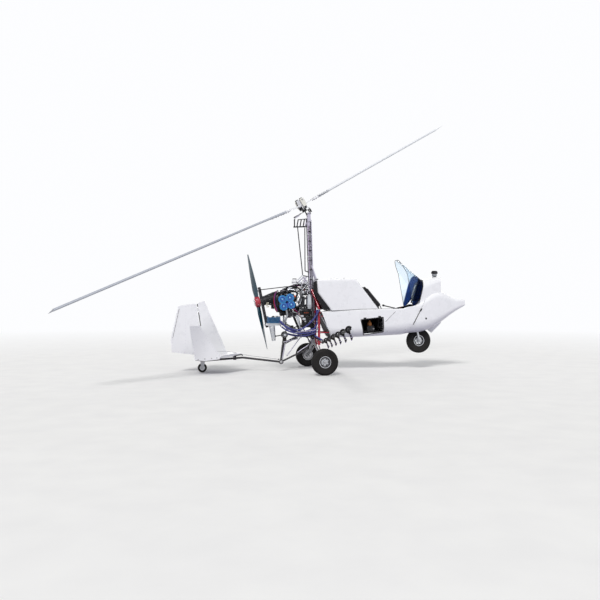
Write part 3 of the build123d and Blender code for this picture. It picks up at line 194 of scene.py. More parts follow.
def weathering_group():
    """Clouded colour with field dust that gathers low down and in patches."""
    group, graph, given, sink = new_group(
        "Field Weathering",
        [("Color", "colour", (0.5, 0.5, 0.5, 1)), ("Dust Color", "colour", (0.36, 0.31, 0.25, 1)),
         ("Dust", "value", 0.3), ("Dust Top", "value", 0.2), ("Scale", "value", 6.0), ("Clouding", "value", 0.025),
         ("Roughness", "value", 0.4)],
        [("Color", "colour"), ("Roughness", "value")],
    )
    place = graph.add("ShaderNodeTexCoord").outputs["Object"]
    cloud = graph.add("ShaderNodeTexNoise", {"Vector": place, "Scale": given["Scale"], "Detail": 6.0,
                                             "Roughness": 0.6})
    speck = graph.add("ShaderNodeTexNoise", {"Vector": place, "Scale": 160.0, "Detail": 3.0})
    tone = graph.span(cloud.outputs[0], 0.3, 0.7, -1.0, 1.0)
    tone = graph.math("MULTIPLY_ADD", tone, given["Clouding"], 1.0)
    shade = graph.add("ShaderNodeVectorMath", {0: given["Color"]}, operation="SCALE")
    graph.feed(shade.inputs["Scale"], tone)
    height = graph.add("ShaderNodeSeparateXYZ", {0: place}).outputs[2]
    rise = graph.math("SUBTRACT", given["Dust Top"], height)
    low = graph.span(rise, 0.0, 0.45, 0.12, 1.0)
    patch = graph.span(cloud.outputs[0], 0.38, 0.72, 0.25, 1.0)
    grit = graph.span(speck.outputs[0], 0.35, 0.65, 0.4, 1.0)
    mask = graph.math("MULTIPLY", graph.math("MULTIPLY", low, patch), grit)
    mask = graph.math("MULTIPLY", mask, given["Dust"], clamp=True)
    graph.feed(sink.inputs["Color"], graph.blend(mask, shade.outputs[0], given["Dust Color"]))
    rough = graph.math("MULTIPLY_ADD", mask, 0.5, given["Roughness"], clamp=True)
    smudge = graph.span(cloud.outputs[0], 0.3, 0.75, -0.05, 0.07)
    graph.feed(sink.inputs["Roughness"], graph.math("ADD", rough, smudge, clamp=True))
    return group


def edge_group():
    """Worn edges: the bare colour shows where the surface is sharpest, broken up by noise."""
    group, graph, given, sink = new_group(
        "Worn Edges",
        [("Color", "colour", (0.5, 0.5, 0.5, 1)), ("Bare Color", "colour", (0.5, 0.5, 0.5, 1)),
         ("Wear", "value", 0.3), ("Scale", "value", 60.0)],
        [("Color", "colour")],
    )
    point = graph.add("ShaderNodeNewGeometry").outputs["Pointiness"]
    place = graph.add("ShaderNodeTexCoord").outputs["Object"]
    chips = graph.add("ShaderNodeTexNoise", {"Vector": place, "Scale": given["Scale"], "Detail": 4.0})
    edge = graph.span(point, 0.505, 0.56)
    broken = graph.span(chips.outputs[0], 0.42, 0.58)
    mask = graph.math("MULTIPLY", graph.math("MULTIPLY", edge, broken), given["Wear"], clamp=True)
    graph.feed(sink.inputs["Color"], graph.blend(mask, given["Color"], given["Bare Color"]))
    return group


def grain_group():
    """Height of a fine surface grain: a mix of soft waviness and a sharper tooth."""
    group, graph, given, sink = new_group(
        "Surface Grain",
        [("Scale", "value", 200.0), ("Waviness", "value", 0.3), ("Stretch", "vector", (1.0, 1.0, 1.0))],
        [("Height", "value")],
    )
    place = graph.add("ShaderNodeTexCoord").outputs["Object"]
    drawn = graph.add("ShaderNodeVectorMath", {0: place, 1: given["Stretch"]}, operation="MULTIPLY").outputs[0]
    fine = graph.add("ShaderNodeTexNoise", {"Vector": drawn, "Scale": given["Scale"], "Detail": 3.0})
    broad = graph.add("ShaderNodeTexNoise", {"Vector": place, "Scale": 7.0, "Detail": 2.0})
    wave = graph.math("MULTIPLY", broad.outputs[0], given["Waviness"])
    graph.feed(sink.inputs["Height"], graph.math("ADD", fine.outputs[0], wave))
    return group


# Columns: colour, roughness, metallic, coat, grain scale, grain depth, dust, wear, bare colour
FINISHES = {
    "gelcoat": ("gelcoat", 0.28, 0.0, 0.5, 420, 0.03, 0.16, 0.0, (0.6, 0.6, 0.6)),
    "crimson_paint": ("crimson", 0.26, 0.0, 0.6, 300, 0.05, 0.10, 0.0, (0.30, 0.28, 0.27)),
    "alloy": ((0.56, 0.58, 0.62), 0.36, 0.9, 0.0, 380, 0.05, 0.20, 0.0, (0.7, 0.7, 0.7)),
    "blade_alloy": ((0.44, 0.46, 0.51), 0.36, 0.75, 0.1, 380, 0.03, 0.05, 0.0, (0.7, 0.7, 0.7)),
    "steel": ((0.44, 0.45, 0.48), 0.42, 0.85, 0.0, 300, 0.08, 0.30, 0.0, (0.6, 0.6, 0.6)),
    "dark_metal": ((0.012, 0.012, 0.014), 0.42, 0.2, 0.1, 320, 0.10, 0.14, 0.35, (0.16, 0.16, 0.17)),
    "cream_paint": ((0.74, 0.70, 0.55), 0.38, 0.0, 0.3, 260, 0.06, 0.08, 0.4, (0.45, 0.44, 0.42)),
    "azure_paint": ("azure", 0.30, 0.25, 0.5, 240, 0.12, 0.06, 0.0, (0.55, 0.57, 0.60)),
    "casting": ((0.10, 0.10, 0.11), 0.52, 0.6, 0.0, 260, 0.35, 0.10, 0.4, (0.36, 0.36, 0.38)),
    "radiator_paint": ((0.028, 0.12, 0.26), 0.45, 0.3, 0.1, 300, 0.10, 0.08, 0.3, (0.35, 0.36, 0.38)),
    "pipe_metal": ((0.74, 0.73, 0.72), 0.30, 0.7, 0.0, 300, 0.08, 0.06, 0.0, (0.6, 0.6, 0.6)),
    "black_plastic": ((0.010, 0.010, 0.012), 0.52, 0.0, 0.0, 500, 0.12, 0.16, 0.0, (0.2, 0.2, 0.2)),
    "keel_paint": ((0.028, 0.028, 0.036), 0.42, 0.1, 0.2, 300, 0.1, 0.2, 0.3, (0.2, 0.2, 0.21)),
    # Hoses take the hose colour: blue silicone darkened by painted shade
    "hose": ("hose", 0.48, 0.0, 0.1, 300, 0.10, 0.14, 0.0, (0.2, 0.2, 0.2)),
    "tyre": ((0.0075, 0.0075, 0.0085), 0.70, 0.0, 0.0, 520, 0.25, 0.07, 0.0, (0.1, 0.1, 0.1)),
    "seat_cover": ((0.016, 0.017, 0.021), 0.60, 0.0, 0.0, 900, 0.35, 0.08, 0.0, (0.1, 0.1, 0.1)),
    # The propeller's teal is partly painted sky reflection over the blades' dark blue-black
    "propeller": ((0.008, 0.055, 0.085), 0.26, 0.1, 0.6, 300, 0.05, 0.04, 0.0, (0.2, 0.2, 0.2)),
    "kit": ((0.62, 0.12, 0.02), 0.45, 0.0, 0.1, 300, 0.10, 0.15, 0.0, (0.2, 0.2, 0.2)),
    "bolt_steel": ((0.42, 0.42, 0.44), 0.34, 0.95, 0.0, 500, 0.08, 0.10, 0.0, (0.5, 0.5, 0.5)),
    "wire_black": ((0.014, 0.014, 0.016), 0.5, 0.0, 0.0, 500, 0.08, 0.10, 0.0, (0.1, 0.1, 0.1)),
    "wire_red": ((0.42, 0.02, 0.015), 0.5, 0.0, 0.0, 500, 0.05, 0.08, 0.0, (0.1, 0.1, 0.1)),
    "webbing": ((0.030, 0.032, 0.036), 0.8, 0.0, 0.0, 1400, 0.5, 0.12, 0.0, (0.1, 0.1, 0.1)),
    "dial": ((0.012, 0.012, 0.013), 0.35, 0.0, 0.2, 400, 0.02, 0.0, 0.0, (0.1, 0.1, 0.1)),
    "marking": ((0.75, 0.75, 0.72), 0.5, 0.0, 0.0, 400, 0.02, 0.0, 0.0, (0.1, 0.1, 0.1)),
    "hub_paint": ((0.78, 0.77, 0.70), 0.34, 0.1, 0.3, 260, 0.06, 0.04, 0.0, (0.5, 0.5, 0.5)),
    "mast_paint": ((0.50, 0.48, 0.58), 0.38, 0.3, 0.2, 340, 0.06, 0.05, 0.0, (0.5, 0.5, 0.5)),
    "engine_black": ((0.016, 0.016, 0.019), 0.48, 0.3, 0.0, 240, 0.30, 0.06, 0.3, (0.16, 0.16, 0.18)),
    # Navy of the recesses round and between the engine cover lobes: painted shade
    "azure_painted_shade": ((0.008, 0.03, 0.30), 0.30, 0.2, 0.5, 240, 0.10, 0.03, 0.0, (0.2, 0.3, 0.5)),
    # Pale cyan of the lobe centres: painted highlight
    "azure_painted_highlight": ((0.02, 0.32, 0.58), 0.26, 0.2, 0.6, 240, 0.10, 0.03, 0.0, (0.4, 0.5, 0.6)),
    "wire_violet": ((0.17, 0.03, 0.17), 0.5, 0.0, 0.0, 500, 0.05, 0.06, 0.0, (0.1, 0.1, 0.1)),
    "lilac_plastic": ((0.46, 0.42, 0.56), 0.42, 0.0, 0.1, 400, 0.06, 0.05, 0.0, (0.5, 0.5, 0.5)),
    "signal_orange": ((0.62, 0.10, 0.03), 0.45, 0.0, 0.1, 300, 0.05, 0.05, 0.0, (0.4, 0.4, 0.4)),
    "peach_plastic": ((0.72, 0.30, 0.10), 0.42, 0.0, 0.1, 300, 0.05, 0.05, 0.0, (0.4, 0.4, 0.4)),
    "rubber": ((0.012, 0.012, 0.014), 0.62, 0.0, 0.0, 420, 0.14, 0.12, 0.0, (0.1, 0.1, 0.1)),
    "ducting": ((0.022, 0.024, 0.035), 0.6, 0.0, 0.0, 420, 0.2, 0.1, 0.0, (0.1, 0.1, 0.1)),
}
# Columns: node, the finish it takes in place of its slot's own
NODE_FINISHES = {
    "mast": "mast_paint", "head_links": "engine_black", "crankcase": "engine_black", "drive_plate": "engine_black",
    "engine_mount": "engine_black", "header_tank": "gelcoat", "steering_head": "alloy", "hopper_cap": "gelcoat",
    # hub_tower goes dark as painted shade on the inner faces of its cheeks; cream shells cover their outsides
    "hub_tower": "dark_metal", "hub_bar": "gelcoat", "hatch_kit": "engine_black", "intake": "casting",
}
# Made materials, by the name of their finish
FINISHED = {}
DUST_TOP = 760.0
DULL_SPECULAR = 0.16
TINT_LINE = (1668.0, 0.0, 1562.0)
TINT_WAY = (0.9676, 0.0, -0.2525)


def new_material(name):
    """A node material with its graph and its Principled shader."""
    material = bpy.data.materials.new(name)
    material.use_nodes = True
    return material, Graph(material.node_tree), material.node_tree.nodes["Principled BSDF"]


def finish(name):
    """The procedural material of a finish, made on first use."""
    if name not in FINISHED:
        FINISHED[name] = screen_material() if name == "screen" else painted_material(name)
    return FINISHED[name]


def painted_material(name):
    """A finish from the table: its colour, worn at the edges and dusty low down, over a fine grain."""
    colour, roughness, metallic, coat, scale, depth, dust, wear, bare = FINISHES[name]
    colours = bpy.context.scene.gyro_colours
    groups = bpy.data.node_groups
    if isinstance(colour, str):
        colour = tuple(getattr(colours, colour))
    material, graph, shader = new_material("gyro_" + name)
    painted = (*colour, 1.0)
    if wear:
        edges = graph.add("ShaderNodeGroup", {"Color": painted, "Bare Color": (*bare, 1.0), "Wear": wear},
                          node_tree=groups["Worn Edges"])
        painted = edges.outputs["Color"]
    aged = graph.add("ShaderNodeGroup", {"Color": painted, "Dust Color": (*colours.dust, 1.0), "Dust": dust,
                                         "Dust Top": at(0, 0, DUST_TOP).z, "Roughness": roughness},
                     node_tree=groups["Field Weathering"])
    grain = graph.add("ShaderNodeGroup", {"Scale": float(scale)}, node_tree=groups["Surface Grain"])
    bump = graph.add("ShaderNodeBump", {"Strength": depth, "Distance": 0.002, "Height": grain.outputs["Height"]})
    settings = {"Metallic": metallic, "Coat Weight": coat, "Coat Roughness": 0.12, "Base Color": aged.outputs["Color"],
                "Roughness": aged.outputs["Roughness"], "Normal": bump.outputs[0]}
    if metallic < 0.5 and roughness > 0.4:
        settings["Specular IOR Level"] = DULL_SPECULAR
    for key, value in settings.items():
        graph.feed(shader.inputs[key], value)
    return material


def screen_material():
    """Clear acrylic with fine haze, deep blue below the line where the tinted foot begins."""
    material, graph, shader = new_material("gyro_screen")
    shader.inputs["Transmission Weight"].default_value = 0.9
    shader.inputs["IOR"].default_value = 1.08
    place = graph.add("ShaderNodeTexCoord").outputs["Object"]
    haze = graph.add("ShaderNodeTexNoise", {"Vector": place, "Scale": 9.0, "Detail": 5.0})
    graph.feed(shader.inputs["Roughness"], graph.span(haze.outputs[0], 0.3, 0.8, 0.03, 0.16))
    clear = graph.blend(graph.span(haze.outputs[0], 0.4, 0.7), (0.44, 0.60, 0.74, 1), (0.36, 0.53, 0.68, 1))
    ahead = graph.add("ShaderNodeVectorMath", {0: place, 1: tuple(at(*TINT_LINE))}, operation="SUBTRACT")
    ahead = graph.add("ShaderNodeVectorMath", {0: ahead.outputs[0], 1: TINT_WAY}, operation="DOT_PRODUCT")
    tinted = graph.span(ahead.outputs["Value"], -0.004, 0.010)
    graph.feed(shader.inputs["Base Color"], graph.blend(tinted, clear, (0.010, 0.030, 0.13, 1)))
    graph.feed(shader.inputs["Alpha"], graph.math("MULTIPLY_ADD", tinted, 0.57, 0.42))
    return material


def soften(piece):
    """Joins a mesh's doubled points and shades it smooth up to the crease angle, without changing its data."""
    weld = piece.modifiers.new("Weld", "WELD")
    weld.merge_threshold = 0.00002
    split = piece.modifiers.new("Edges", "EDGE_SPLIT")
    split.split_angle = radians(32)
    piece.data.polygons.foreach_set("use_smooth", [True] * len(piece.data.polygons))


def add_piece(name, data, slot, body, material=None, replaces=()):
    """Links a new piece, gives it its finish and hangs it on its body."""
    piece = bpy.data.objects.new(name, data)
    bpy.context.scene.collection.objects.link(piece)
    piece.data.materials.clear()
    piece.data.materials.append(finish(material or slot))
    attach(piece, body)
    if replaces:
        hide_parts(*replaces)
    return piece


def mesh_of(name, bm, place=Matrix.Identity(4), smooth=True):
    """Turns a bmesh in local millimetres into mesh data in the frame's metres."""
    bm.transform(place)
    bm.transform(Matrix.Scale(0.001, 4) @ Matrix.Translation((0, 0, -SOCKET_HEIGHT)))
    bmesh.ops.recalc_face_normals(bm, faces=bm.faces)
    data = bpy.data.meshes.new(name)
    bm.to_mesh(data)
    bm.free()
    data.polygons.foreach_set("use_smooth", [smooth] * len(data.polygons))
    if smooth:
        data.set_sharp_from_angle(angle=radians(38))
    return data


def skin(bm, loops, closed=False):
    """Faces along a run of equal loops of points; it meets itself if closed, or else each end gets a face."""
    for first, second in zip(loops, loops[1:] + loops[:1] if closed else loops[1:]):
        for i, start in enumerate(first):
            after = (i + 1) % len(first)
            bm.faces.new((start, first[after], second[after], second[i]))
    if not closed:
        bm.faces.new(loops[0])
        bm.faces.new(loops[-1])


def circle(count, radius, shift=0.0):
    """Even places round a circle, the first one turned on by shift of a step."""
    turns = [2 * pi * (n + shift) / count for n in range(count)]
    return [(radius * cos(turn), radius * sin(turn)) for turn in turns]


def lathe(bm, profile, place=Matrix.Identity(4), steps=32, closed=False):
    """Turns a profile of (radius, height) points about the local z axis."""
    skin(bm, [[bm.verts.new(on(place, x, y, height)) for x, y in circle(steps, radius)]
              for radius, height in profile], closed)


def collar(bm, place, inner, outer, low, high, lip=1.0, steps=24):
    """A ring about the local z axis whose outer edges slope by lip."""
    lathe(bm, [(inner, low), (outer, low + lip), (outer, high - lip), (inner, high)], place, steps, True)


def block(bm, low, high, place=Matrix.Identity(4)):
    """A box between two corners."""
    corners = [
        bm.verts.new(on(place, x, y, z))
        for x in (low[0], high[0]) for y in (low[1], high[1]) for z in (low[2], high[2])
    ]
    for face in ((0, 1, 3, 2), (4, 6, 7, 5), (0, 4, 5, 1), (2, 3, 7, 6), (0, 2, 6, 4), (1, 5, 7, 3)):
        bm.faces.new([corners[i] for i in face])


def aim(point, way=(0, 0, 1), spin=0.0):
    """A matrix whose z axis points along way."""
    way = Vector(way).normalized()
    helper = Vector((0, 0, 1)) if abs(way.z) < 0.9 else Vector((1, 0, 0))
    x_axis = helper.cross(way).normalized()
    turn = Matrix((x_axis, way.cross(x_axis), way)).transposed().to_4x4()
    return Matrix.Translation(Vector(point)) @ turn @ Matrix.Rotation(spin, 4, "Z")


def bolt(bm, point, way, radius=6.5, height=5.0):
    """A hexagon head with a chamfer on its washer."""
    place = aim(point, way, spin=point[0] * 0.7)
    lathe(bm, [(radius * 1.35, -0.4), (radius * 1.35, 1.2), (radius * 1.25, 1.5)], place, 16)
    lathe(bm, [(radius, 1.0), (radius, height * 0.85), (radius * 0.85, height)], place, 6)


def bevelled(piece, width):
    """Rounds the sharp edges of a piece by a bevel of the given width in metres."""
    edge = piece.modifiers.new("Bevel", "BEVEL")
    edge.width = width
    edge.segments = 2
    edge.limit_method = "ANGLE"
    edge.angle_limit = radians(40)


def wires(name, routes, radius, slot):
    """Several smooth round leads on the airframe as one curve object; each route is a list of millimetre points."""
    data = bpy.data.curves.new(name, "CURVE")
    data.dimensions = "3D"
    data.bevel_depth = radius / 1000.0
    data.bevel_resolution = 3
    data.use_fill_caps = True
    for route in routes:
        spline = data.splines.new("NURBS")
        spline.points.add(len(route) - 1)
        for point, place in zip(spline.points, route):
            point.co = (*at(*place), 1.0)
        spline.order_u = min(4, len(route))
        spline.use_endpoint_u = True
        spline.resolution_u = 6
    add_piece(name, data, slot, "airframe")


SIDES = ((1, "left"), (-1, "right"))
STARBOARD = (0, -1, 0)
# Puts an outline drawn in the side view, ahead and up, into the x-z plane
SIDEWAYS = Matrix(((1, 0, 0, 0), (0, 0, 1, 0), (0, 1, 0, 0), (0, 0, 0, 1)))


def mirrored(place, side):
    """A place given to port, or its mirror image to starboard."""
    return Vector((place[0], side * place[1], place[2]))


def rectangle(x, y):
    """The corners of a rectangle round the origin, given its half sides."""
    return [(-x, -y), (x, -y), (x, y), (-x, y)]


def surface(*nodes):
    """The faces of some nodes as one tree that lines can be cast at, in metres."""
    points, faces = [], []
    for node in nodes:
        mesh = frame["nodes"][node].data
        base = len(points)
        points += [vertex.co.copy() for vertex in mesh.vertices]
        faces += [[base + i for i in polygon.vertices] for polygon in mesh.polygons]
    return BVHTree.FromPolygons(points, faces)


def spread(points, step):
    """Even places along a run of points, about step apart."""
    places = [Vector(points[0])]
    for start, end in zip(points, points[1:]):
        start, end = Vector(start), Vector(end)
        count = max(1, round((end - start).length / step))
        places += [start + (end - start) * n / count for n in range(1, count + 1)]
    return places


def onto(tree, x, z, side):
    """Where a line across the model meets the skin from one side: the place and its outward way."""
    hit, normal = tree.ray_cast(at(x, side * 900, z), Vector((0, -side, 0)))[:2]
    if hit is None:
        return None
    if normal.y * side < 0:
        normal = -normal
    return local(hit), normal


def laid(tree, outline, side, step=20):
    """A run of side-view points laid on the skin: the places and their outward ways."""
    found = [onto(tree, place.x, place.y, side) for place in spread([(*point, 0) for point in outline], step)]
    found = [pair for pair in found if pair]
    return [pair[0] for pair in found], [pair[1] for pair in found]


def ribbon(bm, places, ways, width, height, loop=False):
    """A low strip with chamfered edges laid along places, its back on the surface."""
    rings = []
    count = len(places)
    half = width / 2
    slope = min(height * 0.6, half * 0.5)
    section = ((-half, -0.8), (-half, height - slope), (slope - half, height), (half - slope, height),
               (half, height - slope), (half, -0.8))
    for n, (place, way) in enumerate(zip(places, ways)):
        before = places[n - 1] if n or loop else place
        after = places[(n + 1) % count] if n < count - 1 or loop else place
        across = (after - before).cross(way).normalized()
        rings.append([bm.verts.new(place + across * a + way * b) for a, b in section])
    skin(bm, rings, loop)


def tube(bm, places, radius, steps=10, loop=False):
    """A round tube through closely set places, its section carried on without twist."""
    rings = []
    count = len(places)
    side = None
    for n, place in enumerate(places):
        before = places[n - 1] if n or loop else place
        after = places[(n + 1) % count] if n < count - 1 or loop else place
        way = (after - before).normalized()
        if side is None:
            side = way.orthogonal().normalized()
        side = (side - way * side.dot(way)).normalized()
        other = way.cross(side)
        rings.append([bm.verts.new(place + side * a + other * b) for a, b in circle(steps, radius)])
    skin(bm, rings, loop)


def rod(bm, start, end, radius, steps=14):
    """A straight round bar with softened ends."""
    start, end = Vector(start), Vector(end)
    long = (end - start).length
    soft = min(radius * 0.25, long * 0.2)
    profile = [(radius - soft, 0), (radius, soft), (radius, long - soft), (radius - soft, long)]
    lathe(bm, profile, aim(start, end - start), steps)


def plate(bm, outline, low, high, place=Matrix.Identity(4)):
    """A flat piece: an outline in the local x-y plane given thickness from low to high."""
    skin(bm, [[bm.verts.new(on(place, x, y, z)) for x, y in outline] for z in (low, high)])


def side_plate(bm, outline, low, high):
    """A flat piece drawn in the side view, from low to high to port."""
    plate(bm, outline, low, high, SIDEWAYS)


def link(bm, start, end, width, thick, way):
    """A flat bar with rounded ends and an eye bolt at each end, lying across way."""
    start, end, way = Vector(start), Vector(end), Vector(way).normalized()
    long = (end - start).length
    place = seat_on(start, end - start, way - (end - start) * way.dot(end - start) / long ** 2)
    half = width / 2
    outline = [(long + half * sin(a), half * cos(a)) for a in (0, pi / 4, pi / 2, 3 * pi / 4, pi)]
    outline += [(-half * sin(a), -half * cos(a)) for a in (0, pi / 4, pi / 2, 3 * pi / 4, pi)]
    plate(bm, outline, -thick / 2, thick / 2, place)
    for spot in (start, end):
        bolt(bm, spot + way * thick / 2, way, width * 0.3, 4)


def rivets(bm, spots, ways, radius=2.6, height=1.3):
    """Low round heads at places on a surface."""
    for spot, way in zip(spots, ways):
        lathe(bm, [(radius, -0.4), (radius * 0.86, height * 0.6), (radius * 0.4, height)], aim(spot, way), 8)


def band(bm, centre, way, radius, width=9.0):
    """A hose clamp: a thin band with its screw housing."""
    place = aim(centre, way)
    half = width / 2
    lathe(bm, [(radius - 1, -half), (radius + 1.4, -half), (radius + 1.4, half), (radius - 1, half)], place, 24, True)
    block(bm, (radius, -7, -half - 1), (radius + 7, 7, half + 1), place)
    rod(bm, on(place, radius + 4, 6, 0), on(place, radius + 4, 13, 0), 3.2, 8)


def hoop(bm, centre, way, radius, thick, steps=32):
    """A round ring of round section."""
    lathe(bm, [(radius + a, b) for a, b in circle(8, thick)], aim(centre, way), steps, True)


class Tray:
    """Gathers small fittings by finish and makes one piece of each gathering."""

    def __init__(self, prefix, body="airframe"):
        self.prefix, self.body, self.meshes = prefix, body, {}

    def __getitem__(self, name):
        if name not in self.meshes:
            self.meshes[name] = bmesh.new()
        return self.meshes[name]

    def bolt(self, *given):
        bolt(self["bolt_steel"], *given)

    def rivets(self, *given):
        rivets(self["bolt_steel"], *given)

    def steel(self, *given):
        lathe(self["bolt_steel"], *given)

    def empty(self, soft=0.0):
        for name, bm in self.meshes.items():
            label = f"{self.prefix}_{name}"
            piece = add_piece(label, mesh_of(label, bm), name, self.body)
            if soft:
                bevelled(piece, soft)
        self.meshes = {}


CHANNEL_WIDTH, CHANNEL_DEPTH = 7.0, 0.007
PAD_FRAMES = 20


def inflate(piece, cap):
    """Blows a closed form up like a stuffed pad with a cloth simulation; no point moves more than cap."""
    scene = bpy.context.scene
    skin = piece.modifiers.new("Skin", "REMESH")
    skin.mode = "VOXEL"
    skin.voxel_size = 0.006
    taken = bpy.data.meshes.new_from_object(piece.evaluated_get(bpy.context.evaluated_depsgraph_get()))
    piece.modifiers.clear()
    piece.data = taken
    cloth = piece.modifiers.new("Cloth", "CLOTH")
    cloth.settings.quality = 4
    cloth.settings.use_pressure = True
    cloth.settings.uniform_pressure_force = 4.0
    cloth.settings.effector_weights.gravity = 0.0
    cloth.point_cache.frame_end = PAD_FRAMES
    for step in range(1, PAD_FRAMES + 1):
        scene.frame_set(step)
    swollen = piece.evaluated_get(bpy.context.evaluated_depsgraph_get()).data
    moves = [after.co - before.co for after, before in zip(swollen.vertices, taken.vertices)]
    piece.modifiers.clear()
    scene.frame_set(1)
    for vertex, move in zip(taken.vertices, moves):
        vertex.co += move * min(1.0, cap / max(move.length, 1e-9))
    taken.polygons.foreach_set("use_smooth", [True] * len(taken.polygons))
    finer = piece.modifiers.new("Finer", "SUBSURF")
    finer.levels = finer.render_levels = 1


class GYRO_OT_finishes(bpy.types.Operator):
    """Give every node of the frame its procedural finish and smooth shading"""
    bl_idname = "gyro.finishes"
    bl_label = "Finishes"

    def execute(self, context):
        weathering_group()
        edge_group()
        grain_group()
        for part in frame["record"]["subparts"]:
            node = frame["nodes"][part["node"]]
            node.data.materials.clear()
            node.data.materials.append(finish(NODE_FINISHES.get(part["node"], part["material_slot"])))
            soften(node)
        return {"FINISHED"}


# Columns: node, body, centre, outer radius, half width, rim radius, half rim width
TYRES = (
    ("tyre_left", "wheel_left", (0.0, HALF_TRACK, WHEEL_RADIUS), WHEEL_RADIUS, 60.0, RIM_RADIUS, 46.0),
    ("tyre_right", "wheel_right", (0.0, -HALF_TRACK, WHEEL_RADIUS), WHEEL_RADIUS, 60.0, RIM_RADIUS, 46.0),
    ("nose_tyre", "nose_wheel", NOSE_WHEEL, WHEEL_RADIUS, 45.0, RIM_RADIUS, 35.0),
    ("tail_tyre", "tail_wheel", TAIL_WHEEL, 72.0, 19.0, 40.0, 15.0),
)
# Columns: share of the way from rim to tread, share of the half width
SIDEWALL = ((0.16, 0.90), (0.20, 0.92), (0.24, 0.915), (0.40, 0.985), (0.55, 1.0), (0.70, 0.965), (0.73, 0.975),
            (0.76, 0.93), (0.87, 0.78), (0.95, 0.62))
# Columns: outer and inner edge of a rib, as shares of the half width
RIBS = ((0.56, 0.44), (0.36, 0.24), (0.16, 0.0))


class GYRO_OT_tyres(bpy.types.Operator):
    """Build the balloon tyres with ribbed tread, sidewall rings and bead"""
    bl_idname = "gyro.tyres"
    bl_label = "Tyres"

    def execute(self, context):
        sizes = context.scene.gyro_sizes
        for node, body, centre, radius, half, rim, rim_half in TYRES:
            groove = radius - sizes.tread_depth * 1000 * radius / WHEEL_RADIUS
            tall = radius - rim
            outline = [(rim, rim_half), (rim + 0.06 * tall, rim_half + 0.10 * half)]
            outline += [(rim + rise * tall, half * share) for rise, share in SIDEWALL]
            for start, end in RIBS:
                outline += [(radius - 0.02 * tall * start, half * start), (radius, half * end)]
                if end:
                    outline += [(groove, half * (end - 0.01)), (groove, half * (end - 0.07))]
            outline += [(r, -y) for r, y in reversed(outline[:-1])]
            bm = bmesh.new()
            lathe(bm, outline, Matrix.Translation(Vector(centre)) @ Matrix.Rotation(-pi / 2, 4, "X"),
                  sizes.tyre_steps, True)
            add_piece(node + "_tread", mesh_of(node + "_tread", bm), "tyre", body, replaces=(node,))
        return {"FINISHED"}


class GYRO_OT_wheel_fittings(bpy.types.Operator):
    """Rim bolts, hub caps, dark dishes, valve stems and brake discs"""
    bl_idname = "gyro.wheel_fittings"
    bl_label = "Wheel fittings"

    def execute(self, context):
        for node, body, centre, *_, rim_half in TYRES[:3]:
            bm = bmesh.new()
            centre = Vector(centre)
            for side, name in SIDES:
                out = Vector((0, side, 0))
                lathe(bm, [(22, 0.5), (22, 3), (19, 7), (9, 9)], aim(centre + out * rim_half * 0.84, out), 28)
                for a, b in circle(6, 52, 0.5):
                    bolt(bm, centre + Vector((a, side * 6.2, b)), out, 5.5, 5)
                dish = bmesh.new()
                lathe(dish, [(63, -2), (79, 1), (80, 3), (62, 0)], aim(centre + out * (rim_half - 9), out), 48, True)
                label = f"{node}_dish_{name}"
                add_piece(label, mesh_of(label, dish), "alloy", body, "engine_black")
            stem = centre + Vector((74 * cos(0.4), -rim_half * 0.4, 74 * sin(0.4)))
            lathe(bm, [(4, 0), (4, 14), (2.6, 16), (2.6, 22)], aim(stem, (-0.7, -0.6, -0.25)), 10)
            label = node.replace("tyre", "rim") + "_fittings"
            add_piece(label, mesh_of(label, bm), "alloy", body, "bolt_steel")
        for side, name in SIDES:
            bm = bmesh.new()
            collar(bm, aim((0, side * (HALF_TRACK - 46), WHEEL_RADIUS), (0, side, 0)), 42, 70, -3, 1, 0, 48)
            add_piece(f"brake_disc_{name}", mesh_of(f"brake_disc_{name}", bm), "steel", f"wheel_{name}", "bolt_steel")
        return {"FINISHED"}


# Side-view outlines: ahead, above the ground
HATCH = ((688, 820), (1037, 856), (1046, 634), (740, 590))
HATCH_MIDDLE = (862, 725)
SEAM = ((1690, 1000), (1548, 745))


class GYRO_OT_pod_trim(bpy.types.Operator):
    """Seam strap with its catch, edge rubber of the hatch, vents, rivets and screws of the pod"""
    bl_idname = "gyro.pod_trim"
    bl_label = "Pod trim"

    def execute(self, context):
        hull = surface("pod", "nose")
        tray = Tray("pod_trim")
        for side in (1, -1):
            ribbon(tray["black_plastic"], *laid(hull, SEAM, side), context.scene.gyro_sizes.seam * 1000, 3)
            for shift in (-20, 20):
                tray.rivets(*laid(hull, [(x + shift, z) for x, z in SEAM], side, 48), 3.6, 1.4)
            catch = aim(*onto(hull, 1682, 982, side), spin=1.1)
            block(tray["black_plastic"], (-22, -12, -1), (22, 12, 8), catch)
            block(tray["black_plastic"], (-14, -7, 8), (20, 7, 13), catch)
            ribbon(tray["rubber"], *laid(hull, [(1248, 956), (1083, 791)], side), 5, 1.6)
            lathe(tray["rubber"], [(15, -1), (15, 4), (11, 6), (6, 3)], aim(*onto(hull, 1775, 842, side)), 24)
            tray.rivets(*laid(hull, [(84, 925), (218, 575)], side, 62), 4.0, 1.6)
            tray.rivets(*laid(hull, [(199, 946), (982, 980)], side, 98), 3.6, 1.4)
            for x, z in ((1120, 640), (1420, 668), (420, 600)):
                tray.steel([(7, -1), (7, 2), (4, 3)], aim(*onto(hull, x, z, side)), 16)
        left, low = HATCH_MIDDLE
        rim = [(left + (x - left) * 1.045, low + (z - low) * 1.07) for x, z in HATCH + HATCH[:1]]
        places, ways = laid(hull, rim, -1, 16)
        ribbon(tray["rubber"], places[:-1], ways[:-1], 15, 5, loop=True)
        for x in (745, 985):
            spot, way = onto(hull, x, 844 + (x - 688) * 0.103, -1)
            hinge = aim(spot, way)
            block(tray["black_plastic"], (-22, -10, 0), (22, 10, 7), hinge)
            tray.rivets([on(hinge, shift, 0, 7) for shift in (-14, 14)], [way, way], 3.2, 1.6)
        tray.empty(0.0006)
        return {"FINISHED"}


